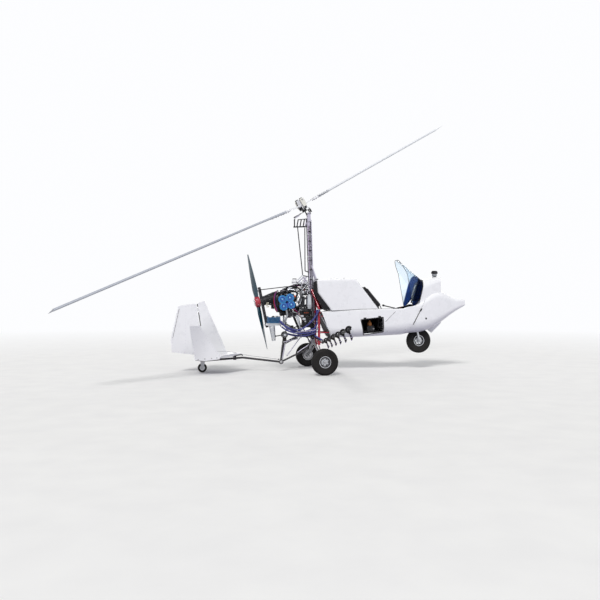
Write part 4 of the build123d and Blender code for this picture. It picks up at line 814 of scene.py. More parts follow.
# Side-view outlines: ahead, above the ground
WEDGE = ((-33, 1440), (-16, 1256), (190, 992), (92, 980), (-72, 1250), (-78, 1412))
FLANGE = ((60, 950), (104, 950), (246, 560), (226, 552))
BOARD = ((-34, 1428), (-17, 1256), (186, 996), (178, 990), (-24, 1252), (-41, 1428))


class GYRO_OT_hopper_trim(bpy.types.Operator):
    """Backing board and flanges behind the hopper, its foot gasket, vent, latch and ribbed cap"""
    bl_idname = "gyro.hopper_trim"
    bl_label = "Hopper trim"

    def execute(self, context):
        tray = Tray("hopper_trim")
        for side in (1, -1):
            side_plate(tray["black_plastic"], WEDGE, *sorted((side * 203, side * 279)))
            side_plate(tray["rubber"], FLANGE, *sorted((side * 215, side * 232)))
            top, low = Vector((-72, side * 241, 1250)), Vector((92, side * 241, 980))
            for share in (0.08, 0.36, 0.64, 0.92):
                tray.bolt(top.lerp(low, share), (-0.85, 0, -0.52), 6, 5)
            foot = [(199, side * 284, 965), (700, side * 286, 994), (982, side * 286, 999)]
            tube(tray["rubber"], spread(foot, 60), 3.2, 8)
            y = side * 262
            block(tray["black_plastic"], (-46, y - 11, 1462), (-4, y + 11, 1474))
            rod(tray["bolt_steel"], (-42, y - 14, 1474), (-42, y + 14, 1474), 4, 10)
        side_plate(tray["rubber"], BOARD, -203, 203)
        cap = aim((300, 0, 1488.3))
        lathe(tray["gelcoat"], [(67, -11), (67, 3), (62, 7), (40, 8), (36, 5), (8, 5)], cap, 48)
        for n in range(18):
            block(tray["gelcoat"], (66, -4, -11), (70, 4, 2), cap @ Matrix.Rotation(2 * pi * n / 18, 4, "Z"))
        block(tray["gelcoat"], (-34, -7, 4), (34, 7, 14), cap)
        tray.steel([(8, 0), (8, 10), (5, 12)], aim((470, 0, 1476)), 16)
        hoop(tray["bolt_steel"], (470, 0, 1494), (0, 1, 0), 8, 2.2, 20)
        tray.empty(0.0008)
        return {"FINISHED"}


SCREEN_HALF = 240.0
SCREEN_ARCH = 200.0


def screen_half(x, z):
    """Half the windscreen's width at a place of its side view."""
    springing = 1261 + (1770 - x) * 0.8153
    if z <= springing:
        return SCREEN_HALF
    return SCREEN_HALF - SCREEN_ARCH + max(0.0, SCREEN_ARCH ** 2 - (z - springing) ** 2) ** 0.5


class GYRO_OT_screen_trim(bpy.types.Operator):
    """Rubber edge and crown strap of the windscreen, its foot strip and screws"""
    bl_idname = "gyro.screen_trim"
    bl_label = "Windscreen trim"

    def execute(self, context):
        tray = Tray("screen_trim")
        rear = [(1556, 1034, 0), (1514, 1278, 0), (1463, 1570, 0), (1430, 1640, 0), (1356, 1794, 0)]
        edge = [Vector((place.x, -screen_half(place.x, place.y), place.y)) for place in spread(rear, 22)]
        tube(tray["rubber"], edge + [Vector((place.x, -place.y, place.z)) for place in reversed(edge)], 3.6, 8)
        crown = spread([(1364, 0, 1793), (1756, 0, 1473.4)], 60)
        ways = [Vector((0.632, 0, 0.775))] * len(crown)
        ribbon(tray["ducting"], crown, ways, 13, 3)
        tray.rivets(crown[::2], ways[::2], 3, 4.4)
        screen = surface("windscreen")
        for side in (1, -1):
            places, ways = laid(screen, [(1742, 1440), (1680, 1160), (1604, 1066)], side, 20)
            ribbon(tray["rubber"], places, ways, 12, 2.4)
            tray.rivets(places[1::4], ways[1::4], 3.4, 4.0)
        tray.empty()
        return {"FINISHED"}


# Gap and thickness of the dark skin of painted shade inside the cowl and pod
SHADE_SKIN_GAP, SHADE_SKIN_THICKNESS = 1.4, 0.6


def painted_shade_inside(name, nodes, low):
    """A dark skin just inside the hollow of some nodes, ahead of and above the low corner: painted shade over the
    inside of the hollow.
    """
    bm = bmesh.new()
    for node in nodes:
        bm.from_mesh(frame["nodes"][node].data)
    bmesh.ops.remove_doubles(bm, verts=bm.verts, dist=0.00002)
    bm.normal_update()
    rest = []
    for face in bm.faces:
        out, middle = face.normal, face.calc_center_median()
        inner = out.y * middle.y < -0.04 or (out.x < -0.35 and middle.x > 1.5 and middle.z > 0.5)
        in_well = middle.x > 1.4 and middle.z < 0.4
        if not inner or in_well or middle.x < low[0] or middle.z < low[1] or out.z > 0.6:
            rest.append(face)
    bmesh.ops.delete(bm, geom=rest, context="FACES")
    bm.normal_update()
    for vert, way in zip(bm.verts, [vert.normal.copy() for vert in bm.verts]):
        vert.co = local(vert.co) + way * SHADE_SKIN_GAP
    bmesh.ops.solidify(bm, geom=bm.faces, thickness=SHADE_SKIN_THICKNESS)
    add_piece(name, mesh_of(name, bm), "black_plastic", "airframe")


# Columns: place across and up the panel, radius
DIALS = ((-82, 190, 40), (82, 190, 40), (0, 232, 30), (-58, 96, 26), (58, 96, 26), (0, 120, 24))


class GYRO_OT_cowl_trim(bpy.types.Operator):
    """Painted shade inside cowl and pod, lamp rings, cowl screws, and the dials and switches of the panel"""
    bl_idname = "gyro.cowl_trim"
    bl_label = "Cowl and panel"

    def execute(self, context):
        # Dark skins of painted shade inside the cowl and the pod
        painted_shade_inside("cowl_painted_shade", ("cowl", "panel"), at(1080, 0, 900).xz)
        painted_shade_inside("pod_painted_shade", ("pod", "nose"), at(600, 0, 600).xz)
        tray = Tray("cowl_trim")
        lamp = aim((2008, 0, 1500))
        collar(tray["alloy"], lamp, 31, 33.5, 20, 29, 2, 40)
        for z in range(43, 75, 8):
            collar(tray["alloy"], lamp, 39, 41, z, z + 6, 1, 40)
        for n in range(24):
            block(tray["black_plastic"], (51, -1.5, 82), (53, 1.5, 106), lamp @ Matrix.Rotation(n * pi / 12, 4, "Z"))
        lathe(tray["black_plastic"], [(38, 124), (38, 126), (30, 127.5), (10, 127.5)], lamp, 40)
        hood = surface("cowl")
        for side in (1, -1):
            for run in ([(1712, 1190), (1760, 1420)], [(1780, 1206), (2010, 1318)]):
                tray.rivets(*laid(hood, run, side, 58), 3.2, 1.4)
        lean = Vector((72, 0, 289)).normalized()
        face = seat_on((1704, 0, 1157), (0, -1, 0), Vector((-lean.z, 0, lean.x)))
        for x, z, radius in DIALS:
            dial = moved(face, x, z, 0)
            tray.steel([(radius * 0.88, 0), (radius, 0), (radius, 4), (radius * 0.88, 6)], dial, 36, True)
            lathe(tray["dial"], [(radius * 0.9, 0.2), (radius * 0.9, 2)], dial, 36)
            for n in range(-5, 6):
                tick = dial @ Matrix.Rotation(n * 0.47, 4, "Z")
                block(tray["marking"], (-0.7, radius * 0.66, 2), (0.7, radius * 0.82, 2.6), tick)
            needle = [(-1.6, -4), (1.6, -4), (0.3, radius * 0.62), (-0.3, radius * 0.62)]
            plate(tray["marking"], needle, 2.8, 3.4, dial @ Matrix.Rotation(0.9 - x * 0.02, 4, "Z"))
            tray.steel([(2.4, 2), (2.4, 5)], dial, 10)
        way = face.to_3x3() @ Vector((0, 0, 1))
        for x in range(-60, 61, 30):
            spot = on(face, x, 44, 0)
            tray.steel([(6, 0), (6, 4), (4, 6)], aim(spot, way), 6)
            rod(tray["bolt_steel"], spot, spot + way * 18 + Vector((0, 0, 5)), 2.2, 8)
        tray.empty()
        return {"FINISHED"}


# Columns: name, side-view outline (base end first), half width, bulge allowed in metres, node that it stands for
PADS = (
    ("seat_base", ((1026, 716), (1398, 716), (1402, 768), (1026, 764)), 178, 0.010, "seat"),
    ("seat_lumbar", ((1040, 800), (1072, 806), (1052, 1004), (1012, 996)), 172, 0.010, None),
    ("seat_back", ((1016, 1030), (1046, 1056), (810, 1336), (778, 1310)), 172, 0.010, None),
)
SEAT_SHELL = ((742, 1326), (776, 1352), (1006, 1062), (1008, 800), (1000, 706), (990, 706), (990, 1004))
SEAT_FOOT = ((1004, 703), (1408, 703), (1412, 714), (1004, 712))
# Places of the port belts: ahead, to port, above the ground
SHOULDER_BELT = ((795, 62, 1354), (840, 66, 1316), (930, 74, 1210), (1030, 84, 1090), (1070, 92, 1004),
                 (1092, 104, 904), (1110, 118, 816), (1150, 96, 796), (1196, 44, 800))
LAP_BELT = ((1024, 186, 780), (1080, 150, 800), (1150, 80, 806), (1190, 24, 806))


class GYRO_OT_seat(bpy.types.Operator):
    """Stuffed seat pads with sewn channels and piping, the shell behind them and the belts"""
    bl_idname = "gyro.seat"
    bl_label = "Seat"

    def execute(self, context):
        for name, outline, half, bulge, node in PADS:
            bm = bmesh.new()
            side_plate(bm, outline, -half, half)
            bmesh.ops.bevel(bm, geom=bm.edges[:], offset=10, segments=3, profile=0.6, affect="EDGES")
            piece = add_piece(name, mesh_of(name, bm), "seat_cover", "airframe", replaces=(node,) if node else ())
            inflate(piece, bulge)
            self.channels(piece, outline, half)
            self.piping(piece, outline, half)
        tray = Tray("seat_fittings")
        side_plate(tray["black_plastic"], SEAT_SHELL, -186, 186)
        side_plate(tray["black_plastic"], SEAT_FOOT, -186, 186)
        self.belts(tray)
        tray.empty(0.001)
        return {"FINISHED"}

    def channels(self, piece, outline, half):
        """Presses the sewn channels that run along the pad into its upper or forward side."""
        foot, low, high, top = [Vector((x, 0, z)) for x, z in outline]
        out = (top - foot).normalized()
        if abs(out.x) > abs(out.z):
            along = (high - low).normalized()
            out = Vector((along.z, 0, -along.x))
        for vertex in piece.data.vertices:
            for line in (-0.5, 0.0, 0.5):
                far = (vertex.co.y * 1000 - line * half) / CHANNEL_WIDTH
                if abs(far) < 3 and vertex.normal.dot(out) > 0.3:
                    vertex.co -= out * CHANNEL_DEPTH * exp(-far * far)

    def piping(self, piece, outline, half):
        """A cord of piping round the pad where its two faces meet."""
        tree = BVHTree.FromPolygons([v.co.copy() for v in piece.data.vertices],
                                    [list(p.vertices) for p in piece.data.polygons])
        corners = [Vector((x, 0, z)) for x, z in outline]
        edges = sorted(zip(corners, corners[1:] + corners[:1]), key=lambda edge: (edge[1] - edge[0]).length)
        first, second = ((a + b) / 2 for a, b in edges[:2])
        centre, along = at(*(first + second) / 2), first - second
        places = []
        for a, b in circle(72, 1):
            way = (along * a + Vector((0, 2 * half * b, 0))).normalized()
            hit = tree.ray_cast(centre + way * 0.8, -way)[0]
            if hit:
                places.append(local(hit))
        bm = bmesh.new()
        tube(bm, places, 3.4, 8, loop=True)
        name = piece.name + "_piping"
        add_piece(name, mesh_of(name, bm), "webbing", "airframe")

    def belts(self, tray):
        """Shoulder and lap belts of both sides, their slides and the buckle."""
        for side in (1, -1):
            places = spread([(x, side * y, z) for x, y, z in SHOULDER_BELT], 20)
            ways = []
            for n in range(len(places)):
                along = places[min(n + 1, len(places) - 1)] - places[max(n - 1, 0)]
                way = along.cross(Vector((0, 1, 0))).normalized()
                ways.append(way if way.x > 0 or way.z > 0.5 else -way)
            ribbon(tray["webbing"], places, ways, 46, 2.2)
            lap = spread([(x, side * y, z) for x, y, z in LAP_BELT], 18)
            ribbon(tray["webbing"], lap, [Vector((0.2, 0, 0.98))] * len(lap), 46, 2.2)
            block(tray["bolt_steel"], (1140, side * 100 - 16, 806), (1172, side * 100 + 16, 812))
        block(tray["bolt_steel"], (1172, -32, 804), (1216, 32, 818))
        block(tray["signal_orange"], (1180, -14, 818), (1208, 14, 821))


# Routes of the leads from the panel to the floor: ahead, to port, above the ground
CABIN_LEADS = (
    ((1740, 60, 1230), (1700, 90, 1120), (1660, 110, 960), (1600, 120, 800), (1560, 130, 712)),
    ((1740, -60, 1230), (1690, -100, 1100), (1640, -120, 940), (1580, -130, 712)),
)


class GYRO_OT_cabin(bpy.types.Operator):
    """Gaiter and grip of the stick, pedal treads, throttle knob, floor ribs and what the hatch holds"""
    bl_idname = "gyro.cabin"
    bl_label = "Cabin"

    def execute(self, context):
        tray = Tray("cabin")
        folds = [(46, 2), (46, 6)]
        for n in range(6):
            folds += [(42 - 4.2 * n, 9 + 11 * n), (37 - 4.2 * n, 14 + 11 * n)]
        lathe(tray["rubber"], folds + [(15, 74)], aim((1470, 0, 700)), 28)
        lean = (-6, 0, 90)
        grip = aim((1430, 0, 930), lean)
        for n in range(6):
            hoop(tray["rubber"], on(grip, 0, 0, 10 + 13 * n), lean, 18, 2.6, 20)
        lathe(tray["signal_orange"], [(6, 88), (6, 95), (4, 97)], grip, 16)
        for side in (1, -1):
            y = side * 110
            pad = Matrix.Translation((1532, y, 850)) @ Matrix.Rotation(radians(-12), 4, "Y")
            block(tray["rubber"], (-7, -38, -43), (0, 38, 43), pad)
            for z in range(-38, 33, 14):
                block(tray["rubber"], (-10, -34, z), (-7, 34, z + 6), pad)
            rod(tray["bolt_steel"], (1525, y - 30, 722), (1525, y + 30, 722), 7)
        knob = [(9, 0), (15, 6), (17, 22), (14, 34), (8, 38)]
        lathe(tray["rubber"], knob, aim((1092, -208, 1049), (-262, 0, 60)), 24)
        for x in range(1060, 1477, 52):
            block(tray["rubber"], (x, -200, 700), (x + 6, 200, 704))
        band(tray["bolt_steel"], (922, -140, 676), (0, 0, 1), 26.4, 12)
        bottle = [(30, 0), (33, 4), (33, 50), (18, 66), (13, 70), (13, 82), (8, 84)]
        lathe(tray["peach_plastic"], bottle, aim((868, -128, 726)), 28)
        for x in (842, 878):
            block(tray["webbing"], (x - 8, -176.5, 640), (x + 8, -174.8, 725))
            block(tray["webbing"], (x - 8, -176.5, 724.6), (x + 8, -84, 726.2))
        wires("cabin_leads", CABIN_LEADS, 4.0, "wire_black")
        tray.empty(0.0008)
        return {"FINISHED"}


MAST_COLLARS = (350, 705, 1050, 1400, 1750)
MAST_JOINTS = (90, 130, 520, 640, 1960, 2010)
# Columns: finish, radius, route in the mast's local frame
MAST_LEADS = (
    ("wire_black", 5.5, ((-32, -16, 250), (-33, -18, 800), (-31, -15, 1300), (-34, -17, 1800), (-30, -22, 1990))),
    ("wire_black", 4.0, ((-31, 4, 230), (-31, 8, 700), (-30, 2, 1200), (-31, 6, 1700), (-31, 0, 1900))),
    ("wire_violet", 2.5, ((-30, 18, 300), (-31, 21, 760), (-30, 17, 1180), (-31, 20, 1640), (-30, 16, 1900))),
    ("mast_paint", 4.5, ((-8, -38, 420), (-14, -39, 900), (-6, -38, 1350), (-12, -40, 1760), (-6, -40, 1990))),
    ("mast_paint", 4.5, ((14, -37, 420), (10, -38, 950), (16, -37, 1500), (12, -38, 1960))),
    ("wire_black", 5.5, ((4, 36, 880), (6, 40, 1300), (2, 38, 1700), (0, 40, 1900))),
)


class GYRO_OT_mast_dress(bpy.types.Operator):
    """Collars, leads, ties, drive motor and bolts of the mast"""
    bl_idname = "gyro.mast_dress"
    bl_label = "Mast dressing"

    def execute(self, context):
        tray = Tray("mast_dress")
        outer, inner = rectangle(31, 36), rectangle(25.2, 30.2)
        for level in MAST_COLLARS:
            for n in range(4):
                wall = [outer[n], outer[(n + 1) % 4], inner[(n + 1) % 4], inner[n]]
                plate(tray["alloy"], wall, level - 9, level + 9, MAST)
        for levels, half, across, radius in ((MAST_COLLARS, 31, 18, 5.5), (MAST_JOINTS, 25.3, 14, 6)):
            for level, x, y in product(levels, (-half, half), (-across, across)):
                tray.bolt(on(MAST, x, y, level), (0, 1 if x > 0 else -1, 0), radius, 5)
        for n, (name, radius, route) in enumerate(MAST_LEADS):
            wires(f"mast_lead_{n}", [[on(MAST, *point) for point in route]], radius, name)
        for level in range(420, 1960, 154):
            block(tray["wire_black"], (-38, -24, level - 5), (-30.2, 24, level + 5), MAST)
        motor = moved(MAST, 0, 48, 1900)
        lathe(tray["mast_paint"], [(13, 0), (16, 4), (16, 44), (13, 48), (8, 48), (8, 60), (5, 64)], motor, 28)
        block(tray["alloy"], (-12, -20, 8), (12, -2, 40), motor)
        for y in (-60, 60):
            rod(tray["bolt_steel"], (-5, y, 1476), (-5, y, 1492), 6, 6)
        tray.empty(0.0006)
        return {"FINISHED"}


CHEEK = ((-37, -112), (37, -112), (41, -60), (40, -6), (32, 18), (16, 29), (-16, 29), (-32, 18), (-40, -6), (-41, -60))


class GYRO_OT_rotor_head(bpy.types.Operator):
    """Drive ring, bearing cap, teeter nuts, cheek shells and bolts, bridge and the bolts of the head plate"""
    bl_idname = "gyro.rotor_head"
    bl_label = "Rotor head"

    def execute(self, context):
        self.tower(Tray("hub", "rotor_hub"))
        bar = Tray("bar", "rotor")
        for x, y in product((-22, 22), (-26, 26)):
            bar.steel([(6, 0), (6, 5), (5, 6)], moved(ROTOR, x, y, -20), 6)
        block(bar["gelcoat"], (-29, -41.5, -36), (29, 41.5, -24), ROTOR)
        bar.empty(0.001)
        self.head(Tray("head_plate", "head_roll"))
        return {"FINISHED"}

    def tower(self, hub):
        """What turns with the tower: drive ring, cheeks, teeter nuts with their pins, and bridges."""
        ring = []
        for n in range(60):
            for radius, part in ((64, -0.3), (64, 0.3), (70, 0.42), (70, 0.58)):
                turn = 2 * pi * (n + part) / 60
                ring.append((radius * cos(turn), radius * sin(turn)))
        plate(hub["bolt_steel"], ring, -152, -146.5, TOWER)
        across = TOWER.to_3x3() @ Vector((0, 1, 0))
        for side in (1, -1):
            for x, z in product((-24, 24), (-126, -118)):
                hub.bolt(on(TOWER, x, side * 61.2, z), across * side, 6.5, 5)
            hub.bolt(on(TOWER, 0, side * 76, 0), across * side, 14, 9)
            rod(hub["bolt_steel"], on(TOWER, -16, side * 81, 0), on(TOWER, 16, side * 81, 0), 1.6, 6)
            block(hub["dark_metal"], (-30, side * 51 - 7.4, 24), (30, side * 51 + 7.4, 34), TOWER)
            for x in (-20, 20):
                hub.steel([(7, 34), (7, 40), (5, 41)], moved(TOWER, x, side * 51, 0), 6)
            # Cream shells on the outsides of the cheeks; the dark tower under them is painted shade on their inner
            # faces
            plate(hub["hub_paint"], CHEEK, *sorted((side * 57, side * 76)), TOWER @ SIDEWAYS)
            wrap = [(-38, -137), (38, -137), (38, -112), (-38, -112)]
            plate(hub["engine_black"], wrap, *sorted((side * 43.6, side * 61)), TOWER @ SIDEWAYS)
        hub.empty(0.0008)

    def head(self, tray):
        """What tilts with the head plate: its bolts, the bearing's cap and collar, the drive and the arms."""
        turn = HEAD.to_3x3()
        up = turn @ Vector((0, 0, 1))
        for x, y, (way, level) in product((-222, -190, -120, 38), (-22, 22), ((1, 70), (-1, 60))):
            tray.bolt(on(HEAD, x, y, level), up * way, 6, 5)
        for a, b in circle(8, 31):
            lathe(tray["dark_metal"], [(3.6, -0.5), (3.6, 2.2), (2.6, 3)], aim(on(HEAD, a - 30, b, 104), up), 10)
        collar(tray["dark_metal"], moved(HEAD, -30, 0, 0), 38, 40.5, 76, 100, 2, 40)
        drive = moved(HEAD, 58, 0, 0)
        lathe(tray["dark_metal"], [(10, 6), (14, 9), (14, 52), (17, 54), (17, 60)], drive, 24)
        tray.steel([(8, 70), (8, 92), (5, 94)], drive, 18)
        for side in (1, -1):
            ends = (on(HEAD, x, side * 30, 50) for x in (-226, -150))
            link(tray["mast_paint"], *ends, 16, 6, turn @ Vector((0, side, 0)))
        tray.empty(0.0006)


class GYRO_OT_blades(bpy.types.Operator):
    """Grip bolts, root pins, tip caps and trailing-edge rivets of the rotor blades"""
    bl_idname = "gyro.blades"
    bl_label = "Rotor blades"

    def execute(self, context):
        tray = Tray("blade_fittings", "rotor")
        for spin in (0, pi):
            arm = ROTOR @ Matrix.Rotation(spin, 4, "Z") @ Matrix.Translation((0, 0, -80))
            arm = arm @ Matrix.Rotation(radians(-2.3), 4, "Y")
            up = arm.to_3x3() @ Vector((0, 0, 1))
            for x, way in product((330, 380, 440, 500, 560, 620, 690), (1, -1)):
                tray.bolt(on(arm, x, (x % 40) / 2 - 8, way * 18.3), up * way, 8, 7)
            for way in (1, -1):
                spots = [on(arm, x, -134, way * 2.6) for x in range(500, 4460, 120)]
                tray.rivets(spots, [up * way] * len(spots), 3, 1.2)
            plate(tray["blade_alloy"], [(4484, -138), (4500, -138), (4500, 26), (4484, 34)], -1.2, 1.2, arm)
            rod(tray["bolt_steel"], on(arm, 250, 0, 8), on(arm, 250, 0, 15), 9, 6)
            rod(tray["bolt_steel"], on(arm, 290, 0, -15), on(arm, 290, 0, 15), 9, 6)
        tray.empty()
        return {"FINISHED"}


class GYRO_OT_engine(bpy.types.Operator):
    """Lobe rings, ribs, plug caps, modules, sump, pulleys and bolts of the engine"""
    bl_idname = "gyro.engine"
    bl_label = "Engine"

    def execute(self, context):
        tray = Tray("engine")
        turn = ENGINE.to_3x3()
        up, ahead = turn @ Vector((0, 0, 1)), turn @ Vector((1, 0, 0))
        for side in (1, -1):
            self.bank(tray, side, up, ahead)
        for x, y in ((-120, 0), (-60, -34), (-60, 34), (0, 0)):
            block(tray["wire_black"], (x - 24, y - 20, 120), (x + 24, y + 20, 146), ENGINE)
            for shift in (-12, 12):
                post = moved(ENGINE, x + shift, y, 0)
                lathe(tray["alloy"], [(6, 146), (6, 158), (4, 160)], post, 12)
        plate(tray["engine_black"], [(-112, -72), (62, -72), (62, 72), (-112, 72)], -206, -142, ENGINE)
        for x in range(-104, 53, 26):
            block(tray["engine_black"], (x, -76, -200), (x + 6, 76, -150), ENGINE)
        for x, side in product(range(-150, 151, 60), (1, -1)):
            tray.bolt(on(ENGINE, x, side * 88, 105), up, 6, 6)
            tray.bolt(on(ENGINE, x, side * 100, 92), (0, side, 0), 6, 6)
        long_side = seat_on(on(ENGINE, 0, 0, 0), ahead, (0, -1, 0))
        for y in (-62, -72, 62, 72):
            plate(tray["engine_black"], [(-140, 104), (140, 104), (140, 112), (-140, 112)], -y - 2, -y + 2, long_side)
        back = PROP.to_3x3() @ Vector((0, 0, -1))
        for y, radius in ((181, 29.6), (-385, 29.6), (0, 44.4)):
            for a, b in circle(6, radius):
                tray.bolt(on(PROP, a, y + b, 52), back, 5.5, 5)
        for y in (181, -385):
            lathe(tray["alloy"], [(20, 4), (22, 6), (22, 14), (10, 16)], aim(on(PROP, 0, y, 54), back), 28)
        for y, x in product((-330, -270, -210, 110), (-30, 30)):
            tray.bolt(on(PROP, x, y, 52), back, 5, 5)
        seal = moved(PROP, 0, 0, 96)
        lathe(tray["engine_black"], [(71, 0), (76, 2), (76, 14), (73, 16)], seal, 40, True)
        for a, b in circle(8, 92):
            tray.bolt(on(PROP, a, b, 196), back, 5.5, 6)
        tray.empty(0.0008)
        leads = [self.lead(*plug) for plug in product((1, -1), (-60, 60), (-1, 1))]
        wires("ignition_leads", leads, 3.6, "wire_black")
        return {"FINISHED"}

    def bank(self, tray, side, up, ahead):
        """One side's covers with their rings and cross ribs, their navy rings and ribs painted shade and their cyan
        centres a painted highlight, plug caps, fins' rims and long studs.
        """
        out = Vector((0, side, 0))
        for x, (z, face) in product((-60, 60), ((-56, 288.3), (56, 296.3))):
            hub = aim(on(ENGINE, x, side * face, z), out)
            lathe(tray["azure_paint"], [(50, -0.6), (50, 1.6), (46, 3.2), (38, 3.2), (36, 0.4)], hub, 40, True)
            # Navy ring inside each lobe: painted shade of its recess
            lathe(tray["azure_painted_shade"], [(35, -0.4), (35, 0.6), (22, 1.6), (20, 0.6)], hub, 40, True)
            # Pale cyan boss at each lobe's centre: painted highlight
            lathe(tray["azure_painted_highlight"], [(17, -0.4), (17, 3), (13, 5), (9, 5)], hub, 28)
            tray.steel([(7, 4.6), (7, 10), (5.5, 11)], hub, 6)
        cover = seat_on(on(ENGINE, 0, side * 286.4, 0), ahead, out)
        # Navy cross ribs between the lobes: painted shade
        upright = [(-14, -88), (14, -88), (20, 0), (14, 88), (-14, 88), (-20, 0)]
        for outline in (upright, rectangle(70, 13)):
            plate(tray["azure_painted_shade"], outline, -4, 3, cover)
        for x, z in product((-96, 96), (-60, 0, 60)):
            tray.bolt(on(ENGINE, x, side * 230.4, z), out, 7, 7)
        for x in (-60, 60):
            for z in (-1, 1):
                cap = aim(on(ENGINE, x + 26, side * 206, z * 64), up * z)
                lathe(tray["wire_black"], [(11, -4), (11, 10), (8, 16), (8, 30), (5, 36)], cap, 16)
            for y in range(112, 201, 22):
                hoop(tray["alloy"], on(ENGINE, x, side * y, 0), out, 56, 1.2, 30)
            for z, shift in product((-40, 40), (-50, 50)):
                ends = (on(ENGINE, x + shift, side * y, z) for y in (99, 216))
                rod(tray["bolt_steel"], *ends, 5)

    def lead(self, side, x, z):
        """The route of one plug's lead up to its coil."""
        bend = (x * 2.3, side * 232, 0) if z < 0 else (x * 0.6, side * 168, 150)
        route = [(x + 26, side * 206, z * 98), (x + 26, side * 216, z * 122), bend, (x * 0.4 - 40, side * 104, 150),
                 (-60 + x * 0.6, side * 24, 158)]
        return [on(ENGINE, *point) for point in route]


# Columns: finish, radius, route in millimetres ahead, to port and above the ground
TOP_LEADS = (
    ("wire_black", 11,
     [(-505, -70, 1322), (-450, -104, 1352), (-360, -128, 1362), (-285, -120, 1330), (-230, -80, 1262)]),
    ("ducting", 12, [(-470, 66, 1326), (-400, 96, 1366), (-320, 70, 1384), (-230, 30, 1388), (-150, 40, 1350)]),
    ("wire_black", 8,
     [(-372, -62, 1344), (-330, -96, 1390), (-262, -110, 1386), (-196, -66, 1340), (-150, -56, 1290)]),
    ("wire_violet", 5,
     [(-560, -40, 1288), (-480, -74, 1330), (-380, -60, 1376), (-260, -66, 1372), (-120, -50, 1330)]),
    ("wire_black", 6,
     [(-612, -40, 1262), (-560, -84, 1308), (-476, -120, 1322), (-400, -156, 1300), (-300, -176, 1240)]),
    ("wire_red", 4,
     [(-300, -60, 1340), (-252, -84, 1356), (-200, -72, 1320), (-166, -62, 1240), (-150, -64, 1120)]),
    ("bolt_steel", 5, [(-250, -28, 1352), (-214, -66, 1402), (-168, -60, 1440), (-128, -40, 1424)]),
    ("wire_black", 9, [(-240, 60, 1316), (-210, 84, 1250), (-180, 92, 1120), (-170, 80, 980), (-190, 60, 860)]),
    ("wire_black", 7, [(-160, -52, 1310), (-150, -78, 1262), (-140, -92, 1246), (-128, -110, 1242)]),
)
SIDE_LEADS = (
    ("wire_violet", 7,
     [(-640, -120, 1284), (-686, -190, 1238), (-700, -232, 1150), (-690, -236, 1050), (-650, -228, 968)]),
    ("wire_black", 8,
     [(-630, -100, 1292), (-668, -176, 1252), (-684, -222, 1160), (-668, -226, 1050), (-622, -210, 960)]),
    ("wire_red", 4,
     [(-640, -90, 1280), (-694, -170, 1226), (-716, -220, 1130), (-690, -240, 1010), (-660, -232, 950)]),
    ("wire_black", 6,
     [(-610, -110, 1270), (-640, -190, 1210), (-650, -236, 1110), (-630, -236, 1010), (-560, -190, 940)]),
    ("wire_violet", 5,
     [(-420, -300, 1010), (-360, -296, 980), (-320, -260, 950), (-320, -200, 900), (-300, -150, 840)]),
    ("wire_black", 8,
     [(-470, -262, 990), (-420, -270, 944), (-352, -240, 926), (-300, -190, 902), (-240, -150, 840)]),
    ("wire_red", 4,
     [(-402, -262, 1000), (-350, -268, 950), (-300, -220, 930), (-250, -170, 870), (-236, -130, 800)]),
    ("alloy", 7,
     [(-392, -236, 1076), (-330, -236, 1100), (-290, -220, 1190), (-270, -190, 1270), (-236, -120, 1316)]),
    ("alloy", 6,
     [(-350, -236, 1040), (-300, -216, 1062), (-262, -190, 1130), (-244, -150, 1200), (-196, -84, 1252)]),
    ("bolt_steel", 5,
     [(-330, -206, 936), (-290, -186, 960), (-250, -150, 1010), (-212, -96, 1040), (-150, -60, 1050)]),
    ("alloy", 8, [(-316, -196, 900), (-300, -190, 850), (-288, -170, 790), (-270, -150, 730), (-262, -120, 690)]),
    ("wire_black", 9,
     [(-280, -130, 1000), (-262, -150, 930), (-240, -120, 860), (-232, -90, 780), (-236, -60, 700)]),
    ("wire_black", 7, [(-250, 90, 1000), (-232, 120, 930), (-214, 110, 860), (-196, 90, 760), (-180, 50, 680)]),
    ("wire_black", 6,
     [(-640, 110, 1280), (-690, 180, 1230), (-690, 226, 1120), (-640, 226, 1010), (-560, 180, 940)]),
    ("wire_red", 4, [(-630, 90, 1280), (-700, 170, 1210), (-706, 220, 1110), (-660, 232, 990)]),
)
SIDE_LEADS += tuple((name, radius, [(x, -y, z) for x, y, z in route]) for name, radius, route in
                    (SIDE_LEADS[7], SIDE_LEADS[5]))
# Columns: low corner, high corner
DARK_BOXES = (
    ((-266, -140, 962), (-76, -84, 1008)), ((-252, -130, 864), (-236, -70, 1040)),
    ((-232, -84, 884), (-78, -70, 1010)), ((-560, -70, 1236), (-404, 70, 1262)),
    ((-404, -64, 1322), (-300, 64, 1360)), ((-260, -70, 1216), (-120, -44, 1322)),
    ((-250, 84, 900), (-130, 130, 1010)), ((-500, -206, 858), (-424, -120, 960)),
    ((-228, -112, 1060), (-196, -60, 1200)), ((-300, -74, 1368), (-236, -30, 1424)),
    ((-236, -88, 1300), (-206, -40, 1344)), ((-366, -60, 1362), (-312, -20, 1392)),
    ((-236, -96, 1346), (-150, -64, 1396)), ((-700, -206, 1000), (-640, -150, 1200)),
    ((-420, -216, 876), (-330, -150, 930)), ((-700, 150, 1000), (-640, 206, 1200)),
    ((-230, 60, 1216), (-150, 100, 1322)),
)
PALE_BOXES = (
    ((-196, -128, 1404), (-160, -106, 1434)), ((-286, -142, 1392), (-258, -118, 1424)),
    ((-332, -206, 1160), (-300, -176, 1200)), ((-250, -188, 1246), (-216, -156, 1282)),
    ((-340, -210, 838), (-296, -176, 876)), ((-196, -150, 1276), (-172, -130, 1300)),
    ((-140, -120, 1290), (-112, -96, 1330)), ((-430, -186, 922), (-396, -160, 956)),
    ((-150, 100, 1290), (-120, 124, 1330)),
)
